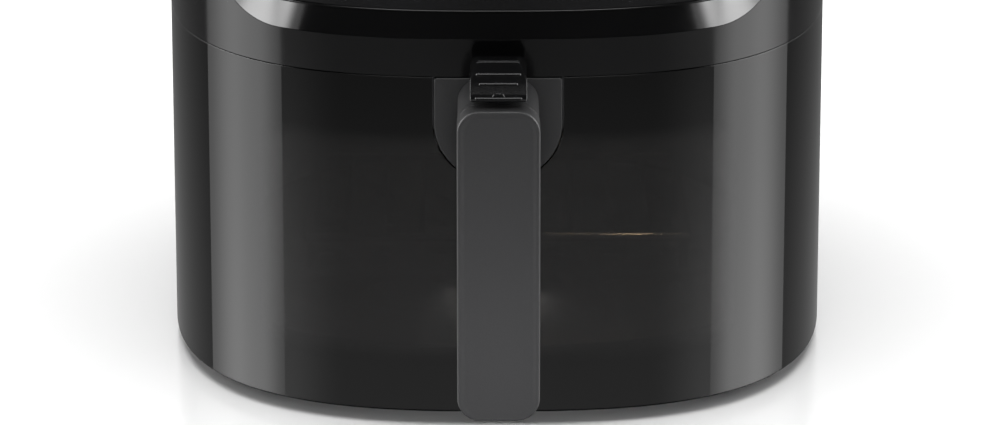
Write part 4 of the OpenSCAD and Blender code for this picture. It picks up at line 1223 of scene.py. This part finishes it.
class FRYER_OT_grip(bpy.types.Operator):
    """Makes the two halves of the grip, with its neck"""
    bl_idname = "fryer.grip"
    bl_label = "Grip"

    def hollow(self, d, crest, depth):
        """Depth of the grip's face at distance d inside its edge: it falls steeply from the
        rim's crest, then ever more gently to the middle, in stretches of half a cosine."""
        stops = ((crest, 0.0), (crest + 2.6 * MM, 0.8 * depth), (7.5 * MM, 0.95 * depth),
                 (17.3 * MM, depth))
        for (d0, w0), (d1, w1) in zip(stops[:-1], stops[1:]):
            if d <= d1:
                return w0 + (w1 - w0) * (1 - math.cos(math.pi * (d - d0) / (d1 - d0))) / 2
        return stops[-1][1]

    def execute(self, context):
        s = context.scene.fryer_handle
        low_r, top_r = 9.8 * MM, 9.5 * MM
        hw, z0, z1 = GRIP_HIGH.x, GRIP_LOW.z, GRIP_HIGH.z

        def stadium(d):
            return loop(hw - d, z0 + d, z1 - d, low_r - d, top_r - d, 14, 14)

        def flat(x, w):
            return np.full(len(x), GRIP_LOW.y + w)

        crest = s.rim_width * 0.6
        split = GRIP_HIGH.y - GRIP_LOW.y
        front = [(hw - 0.3 * MM, split), (0.25 * MM, split), (0, split - 0.25 * MM)]
        front += [(d, w) for d, w in rounded(crest, 6)]
        front += [(d, self.hollow(d, crest, s.dish_depth))
                  for d in np.concatenate([np.linspace(crest + 0.2 * MM, 9 * MM, 26),
                                           np.linspace(10 * MM, hw - 0.3 * MM, 6)])]
        parts = [skin(plate_rings(stadium, front, flat))]
        face = make("grip_face", parts)
        cut(face, latch_room(LATCH_FRONT, 0.4))
        shade(face, 40)
        place(face, "drawer", "grip", MATERIALS["Soft-touch grip"], "grip_front")

        depth = REAR_LOW.y + (21 - 11) * MM - GRIP_LOW.y
        back = [(hw - 0.3 * MM, split + 0.05 * MM), (0.25 * MM, split + 0.05 * MM),
                (0, split + 0.3 * MM)]
        back += [(d, depth - w) for d, w in rounded(4.5 * MM, 8)]
        back += [(d, depth) for d in np.linspace(6 * MM, hw - 0.3 * MM, 4)]
        neck_hw, neck_low, neck_top = 17 * MM, SEAM_Z - 37 * MM, SEAM_Z - 0.8 * MM

        def neck(d):
            return loop(neck_hw - d, neck_low + d, neck_top - d, 6 * MM - d, top_r - d, 14, 14)

        y0, y1 = GRIP_HIGH.y + 3 * MM, MOUNT_LOW.y - 0.06 * MM
        inside = neck_hw - 0.3 * MM
        rear = make("grip_neck", [skin(plate_rings(stadium, back, flat))])
        cut(rear, skin(plate_rings(neck, [(inside, y0), (0, y0), (0, y1), (inside, y1)],
                                   lambda x, y: np.full(len(x), y))), operation="UNION")
        cut(rear, latch_room(LATCH_FRONT, 0.4),
            block((-LATCH_HW, HOOK_LOW.y + 20 * MM, LATCH_LOW),
                  (LATCH_HW, HOOK_LOW.y + 30 * MM, SEAM_Z + 1 * MM)))
        shade(rear, 40)
        place(rear, "drawer", "grip", MATERIALS["Soft-touch grip"], "grip_rear")
        return {"FINISHED"}


class FRYER_OT_button(bpy.types.Operator):
    """Makes the ribbed thumb button"""
    bl_idname = "fryer.button"
    bl_label = "Thumb button"

    def execute(self, context):
        hw = BUTTON_HIGH.x
        front, back = BUTTON_LOW.y, BUTTON_HIGH.y
        base = GRIP_HIGH.z + 3.0 * MM
        top = BUTTON_HIGH.z

        def level(z, d=0.0):
            """Plan of the button at height z drawn in by d: a round-cornered rectangle whose
            front leans back and whose sides draw in towards the top."""
            rise = np.clip((z - base - 1.6 * MM) / (top - base - 1.6 * MM), 0, 1)
            y0 = front + 18.6 * MM * rise + 0.9 * MM * math.sin(math.pi * rise)
            w = hw - 3.1 * MM * np.clip((rise - 0.5) / 0.5, 0, 1)
            return loop(w - d, y0 + d, back - d, 0.7 * MM, 0.7 * MM, 4, 6)

        rings = []
        heights = [(base, 8.0 * MM), (base, 1.0 * MM)]
        heights += [(base + 0.8 * MM * (1 - math.cos(a)), 0.8 * MM * (1 - math.sin(a)))
                    for a in np.linspace(0.3, math.pi / 2, 5)]
        heights += [(z, 0.0) for z in np.linspace(base + 1.4 * MM, top - 1.2 * MM, 14)]
        heights += [(top - 0.9 * MM * (1 - math.sin(a)), 0.9 * MM * (1 - math.cos(a)))
                    for a in np.linspace(0.1, math.pi / 2, 6)]
        heights += [(top - 0.15 * MM, 2.2 * MM), (top - 0.25 * MM, 4.0 * MM)]
        for z, d in heights:
            xy = level(z, d)
            rings.append(np.column_stack([xy, np.full(len(xy), z)]))
        rings = np.stack(rings)
        behind = np.maximum(rings[..., 1] - front - 18.6 * MM, 0)
        near_top = np.clip((rings[..., 2] - top + 3 * MM) / (3 * MM), 0, 1)
        rings[..., 2] -= 0.15 * behind * near_top
        parts = [skin(rings)]
        for share, length in ((0.347, 8.1), (0.602, 9.4)):
            z = base + 1.6 * MM + (top - base - 1.6 * MM) * share
            xy = level(z)
            y = xy[:, 1].min()
            parts.append(rod((-length * MM, y + 0.25 * MM, z), (length * MM, y + 0.25 * MM, z),
                             0.95 * MM, 14))
        xy = level(base + 1.3 * MM)
        y = xy[:, 1].min()
        parts.append(rod((-9.8 * MM, y + 0.75 * MM, base + 1.2 * MM),
                         (9.8 * MM, y + 0.75 * MM, base + 1.2 * MM), 0.95 * MM, 14))
        pip = [(2.3 * MM * math.cos(a), y + 0.9 * MM, base + 1.6 * MM + 1.9 * MM * math.sin(a))
               for a in np.linspace(0, math.pi, 15)]
        parts.append(tube(pip, 0.4 * MM, 10))
        button = make("thumb_key", parts)
        shade(button, 40)
        stem_y = HOOK_LOW.y + 21 * MM
        place(button, "button", "button", MATERIALS["Gloss button"], "thumb_button")
        stem = make("key_stem", [block(
            (-2.5 * MM, stem_y + 2 * MM, BUTTON_LOW.z),
            (2.5 * MM, stem_y + 6 * MM, base + 1 * MM))])
        rounded_edges(stem, 0.3 * MM)
        shade(stem, 35)
        place(stem, "button", "button", MATERIALS["Gloss button"])
        return {"FINISHED"}


class FRYER_OT_rack(bpy.types.Operator):
    """Makes the wire rack and the slotted plate under it"""
    bl_idname = "fryer.rack"
    bl_label = "Rack and plate"

    def execute(self, context):
        softened("wire_rack", "bent_wire_rack", MATERIALS["Plated wire"], 0.0, 45)
        softened("crisper_plate", "slotted_plate", MATERIALS["Non-stick coating"], 0.3 * MM, 40)
        return {"FINISHED"}


class FRYER_OT_chamber(bpy.types.Operator):
    """Makes the heating chamber's sheet parts, heater and fan"""
    bl_idname = "fryer.chamber"
    bl_label = "Heating chamber"

    def execute(self, context):
        softened("head_floor", "chamber_floor", MATERIALS["Chamber steel"], 0.3 * MM, 40)
        softened("heat_shield", "chamber_drum", MATERIALS["Chamber steel"], 0.0, 40)
        softened("heating_element", "heater_loops", MATERIALS["Heater sheath"], 0.0, 45)
        softened("element_guard", "heater_guard", MATERIALS["Plated wire"], 0.0, 45)
        softened("hot_fan", "stirring_fan", MATERIALS["Fan aluminium"], 0.0, 40)
        return {"FINISHED"}


class FRYER_OT_base(bpy.types.Operator):
    """Makes the base, feet, rails and the fittings on the back"""
    bl_idname = "fryer.base"
    bl_label = "Base and back"

    def execute(self, context):
        softened("base_plate", "bottom_plate", MATERIALS["Inner plastic"], 0.4 * MM, 40)
        softened("rubber_feet", "soft_feet", MATERIALS["Rubber"], 0.5 * MM, 40)
        softened("side_rails", "drawer_rails", MATERIALS["Zinc-coated steel"], 0.3 * MM, 40)
        softened("rear_vent", "exhaust_louvres", MATERIALS["Inner plastic"], 0.35 * MM, 40)
        softened("intake_grille", "intake_louvres", MATERIALS["Inner plastic"], 0.25 * MM, 40)
        softened("cord_gland", "lead_gland", MATERIALS["Rubber"], 0.5 * MM, 40)
        return {"FINISHED"}


class FRYER_OT_stage(bpy.types.Operator):
    """Makes the floor, the light cards, the lights and the camera"""
    bl_idname = "fryer.stage"
    bl_label = "Studio"

    def execute(self, context):
        s = context.scene.fryer_stage
        self.make_world(context.scene)
        self.make_floor(s)
        self.make_cards(s)
        self.make_lights(context.scene, s)
        self.make_camera(context.scene, s)
        context.scene.view_settings.view_transform = "Standard"
        return {"FINISHED"}

    def make_world(self, scene):
        """White where the camera looks past the floor, and dim grey for everything else."""
        world = bpy.data.worlds.new("Studio air")
        world.use_nodes = True
        tree = world.node_tree
        tree.nodes.clear()
        seen = tree.nodes.new("ShaderNodeLightPath").outputs["Is Camera Ray"]
        dim = add(tree, "ShaderNodeBackground", {"Color": (1, 1, 1, 1), "Strength": 0.04})
        white = add(tree, "ShaderNodeBackground", {"Color": (1, 1, 1, 1), "Strength": 1.0})
        mix = add(tree, "ShaderNodeMixShader", {0: seen, 1: dim.outputs[0], 2: white.outputs[0]})
        out = tree.nodes.new("ShaderNodeOutputWorld")
        tree.links.new(mix.outputs[0], out.inputs["Surface"])
        scene.world = world

    def make_floor(self, s):
        """Pale floor with a slight sheen, which glows a little further out so that it stays
        white far from the softbox. It isn't seen in the fryer's own gloss."""
        t = np.linspace(0, 2 * math.pi, 96, endpoint=False)
        rings = np.stack([np.stack([r * np.cos(t), r * np.sin(t), 0 * t], 1)
                          for r in (0.5, 1.5, 4.0, 9.0)])
        verts, faces = skin(rings, cap=False)
        floor = make("studio_floor", [(verts, faces + [list(range(96))])])
        mat, tree, bsdf = base_material("Studio floor", tuple(s.floor_colour), 0.12)
        soft = add(tree, "ShaderNodeTexNoise", {"Vector": object_point(tree), "Scale": 3.0})
        tone = math_node(tree, "MULTIPLY_ADD", soft.outputs["Fac"], 0.02, 0.99)
        tree.links.new(scaled_colour(tree, tuple(s.floor_colour), tone),
                       bsdf.inputs["Base Color"])
        away = add(tree, "ShaderNodeVectorMath", {0: object_point(tree)}, operation="LENGTH")
        bsdf.inputs["Emission Color"].default_value = (1, 1, 1, 1)
        tree.links.new(remap(tree, away.outputs["Value"], 0.2, 1.1, 0.0, 0.65),
                       bsdf.inputs["Emission Strength"])
        floor.data.materials.append(mat)
        floor.visible_glossy = False

    def card(self, name, radius, turn, z0, z1, level_of, lights=True):
        """Glowing card bent round the fryer, seen only in reflections and as light. It spans the
        angles turn, counted from the front, and level_of gives its strength from the angle in
        degrees and the height. Where lights is false, it shows in gloss only."""
        angle = np.radians(np.linspace(*turn, 33))
        rows = np.stack([np.stack([radius * np.sin(angle), -radius * np.cos(angle),
                                   np.full(33, z)], 1) for z in (z0, z1)])
        obj = make(name, [(rows.reshape(-1, 3), quads(2, 33, around=False).tolist())])
        mat = bpy.data.materials.new(name + " glow")
        mat.use_nodes = True
        tree = mat.node_tree
        tree.nodes.clear()
        xyz = add(tree, "ShaderNodeSeparateXYZ", {0: object_point(tree)})
        back = math_node(tree, "MULTIPLY", xyz.outputs["Y"], -1.0)
        around = math_node(tree, "ARCTAN2", math_node(tree, "ABSOLUTE", xyz.outputs["X"]), back)
        degrees = math_node(tree, "MULTIPLY", around, 180 / math.pi)
        glow = add(tree, "ShaderNodeEmission",
                   {"Strength": level_of(tree, degrees, xyz.outputs["Z"])})
        out = tree.nodes.new("ShaderNodeOutputMaterial")
        tree.links.new(glow.outputs[0], out.inputs["Surface"])
        obj.data.materials.append(mat)
        obj.visible_camera = False
        obj.visible_shadow = False
        obj.visible_diffuse = lights

    def make_cards(self, s):
        """Two tall side cards that fade at both edges, dim cards behind them, a crown card on
        each side for the bevel's corners, a dim front card that brightens downwards and
        sideways, a brow card for the upper edges, and a white card for the floor's sheen."""

        def side_level(tree, az, z):
            near = remap(tree, az, 62.0, 80.0, 0.42, 1.0)
            far = remap(tree, az, 93.0, 121.0, 1.0, 0.27)
            low = remap(tree, z, -0.75, -0.35, 1.22, 1.0)
            return math_node(tree, "MULTIPLY", math_node(tree, "MULTIPLY", near, far),
                             math_node(tree, "MULTIPLY", low, s.side_light))

        def crown_level(tree, az, z):
            edge = math_node(tree, "MULTIPLY", remap(tree, az, 62.0, 69.0, 0.1, 1.0),
                             remap(tree, az, 100.0, 135.0, 1.0, 0.3))
            rise = remap(tree, z, 1.04, 1.13, 0.45, 1.0)
            return math_node(tree, "MULTIPLY", math_node(tree, "MULTIPLY", edge, rise),
                             s.side_light * 5.7)

        def brow_level(tree, az, z):
            edge = remap(tree, az, 30.0, 62.0, 1.0, 0.25)
            return math_node(tree, "MULTIPLY", edge, s.upper_light)

        def front_level(tree, az, z):
            low = remap(tree, z, -0.98, -0.50, 3.2, 1.0)
            wide = remap(tree, az, 35.0, 66.0, 1.0, 2.0)
            return math_node(tree, "MULTIPLY", math_node(tree, "MULTIPLY", low, wide),
                             s.front_light)

        def rear_level(tree, az, z):
            return remap(tree, z, -0.8, -0.3, 0.25, 0.11)

        for side, name in ((-1, "left"), (1, "right")):
            self.card(f"side_card_{name}", 2.0, (side * 65.4, side * 119.2), -1.5, 1.5, side_level)
            self.card(f"rear_card_{name}", 2.2, (side * 119.0, side * 178.0), -1.5, 0.0,
                      rear_level)
            self.card(f"crown_card_{name}", 1.95, (side * 59.0, side * 135.0), 0.2, 1.5,
                      crown_level, lights=False)
        self.card("front_card", 2.75, (-66.0, 66.0), -1.9, 0.25, front_level)
        self.card("brow_card", 1.5, (-64.0, 64.0), 2.0, 4.4, brow_level, lights=False)
        self.card("white_card", 4.0, (125.0, 235.0), 0.02, 3.0,
                  lambda tree, az, z: remap(tree, z, 0.0, 3.0, 1.0, 0.9))

    def make_lights(self, scene, s):
        """A softbox overhead for the floor, a fill in front, a small light low in front of the
        grip, and the lamp beside the fan."""
        lights = (
            ("overhead_softbox", (0.0, -0.3, 2.4), 0.0, (2.6, 2.6), s.top_light, False),
            ("front_fill", (0.0, -2.6, 1.2), 65.0, (1.6, 1.0), 8.0, False),
            ("grip_kicker", (0.0, -0.33, 0.012), 120.0, (0.08, 0.03), 0.6, False))
        for name, where, turn, size, power, in_gloss in lights:
            data = bpy.data.lights.new(name, "AREA")
            data.shape = "RECTANGLE"
            data.size, data.size_y = size
            data.energy = power
            light = bpy.data.objects.new(name, data)
            light.location = where
            light.rotation_euler = (math.radians(turn), 0, 0)
            light.visible_camera = False
            light.visible_glossy = in_gloss
            light.visible_transmission = in_gloss
            scene.collection.objects.link(light)
        lamp = bpy.data.lights.new("chamber_lamp", "POINT")
        lamp.color = (1.0, 0.72, 0.42)
        lamp.energy = 0.15
        lamp.shadow_soft_size = 0.008
        light = bpy.data.objects.new("chamber_lamp", lamp)
        bulb_low, bulb_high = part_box("lamp_bulb")
        light.location = (bulb_low + bulb_high) / 2
        light.location.z = bulb_low.z - 0.012
        scene.collection.objects.link(light)

    def make_camera(self, scene, s):
        data = bpy.data.cameras.new("studio_camera")
        data.lens = s.lens_mm
        data.sensor_width = 36
        data.clip_start = 0.05
        camera = bpy.data.objects.new("studio_camera", data)
        camera.location = CAMERA_PLACE
        camera.rotation_euler = (math.radians(90 - LOOK_DOWN), 0, math.radians(LOOK_ASIDE))
        scene.collection.objects.link(camera)
        scene.camera = camera


class FRYER_PT_sidebar(bpy.types.Panel):
    """Lists the fryer's pieces in the sidebar"""
    bl_idname = "FRYER_PT_sidebar"
    bl_label = "Hot-air fryer"
    bl_space_type = "VIEW_3D"
    bl_region_type = "UI"
    bl_category = "Fryer"

    def draw(self, context):
        layout = self.layout
        for key, label in SETTINGS.items():
            box = layout.box()
            box.label(text=label)
            group = getattr(context.scene, key)
            for name in group.bl_rna.properties.keys():
                if name not in ("rna_type", "name"):
                    box.prop(group, name)
        for step in STEPS:
            layout.operator(step.bl_idname)


SETTINGS = {"fryer_body": "Body", "fryer_drawer": "Drawer", "fryer_handle": "Handle",
            "fryer_stage": "Studio"}
GROUP_TYPES = {"fryer_body": FryerBodySettings, "fryer_drawer": FryerDrawerSettings,
               "fryer_handle": FryerHandleSettings, "fryer_stage": FryerStageSettings}
STEPS = (FRYER_OT_finishes, FRYER_OT_housing, FRYER_OT_cover, FRYER_OT_panel, FRYER_OT_lens,
         FRYER_OT_window, FRYER_OT_pan, FRYER_OT_mount, FRYER_OT_grip, FRYER_OT_button,
         FRYER_OT_rack, FRYER_OT_chamber, FRYER_OT_base, FRYER_OT_stage)


def register():
    for key, kind in GROUP_TYPES.items():
        bpy.utils.register_class(kind)
        setattr(bpy.types.Scene, key, bpy.props.PointerProperty(type=kind))
    for kind in STEPS + (FRYER_PT_sidebar,):
        bpy.utils.register_class(kind)


def unregister():
    for kind in reversed(STEPS + (FRYER_PT_sidebar,)):
        bpy.utils.unregister_class(kind)
    for key, kind in reversed(GROUP_TYPES.items()):
        delattr(bpy.types.Scene, key)
        bpy.utils.unregister_class(kind)


def main():
    """Registers the add-on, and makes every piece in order."""
    register()
    for step in STEPS:
        name = step.bl_idname.split(".")[1]
        getattr(bpy.ops.fryer, name)()


if __name__ == "__main__":
    main()
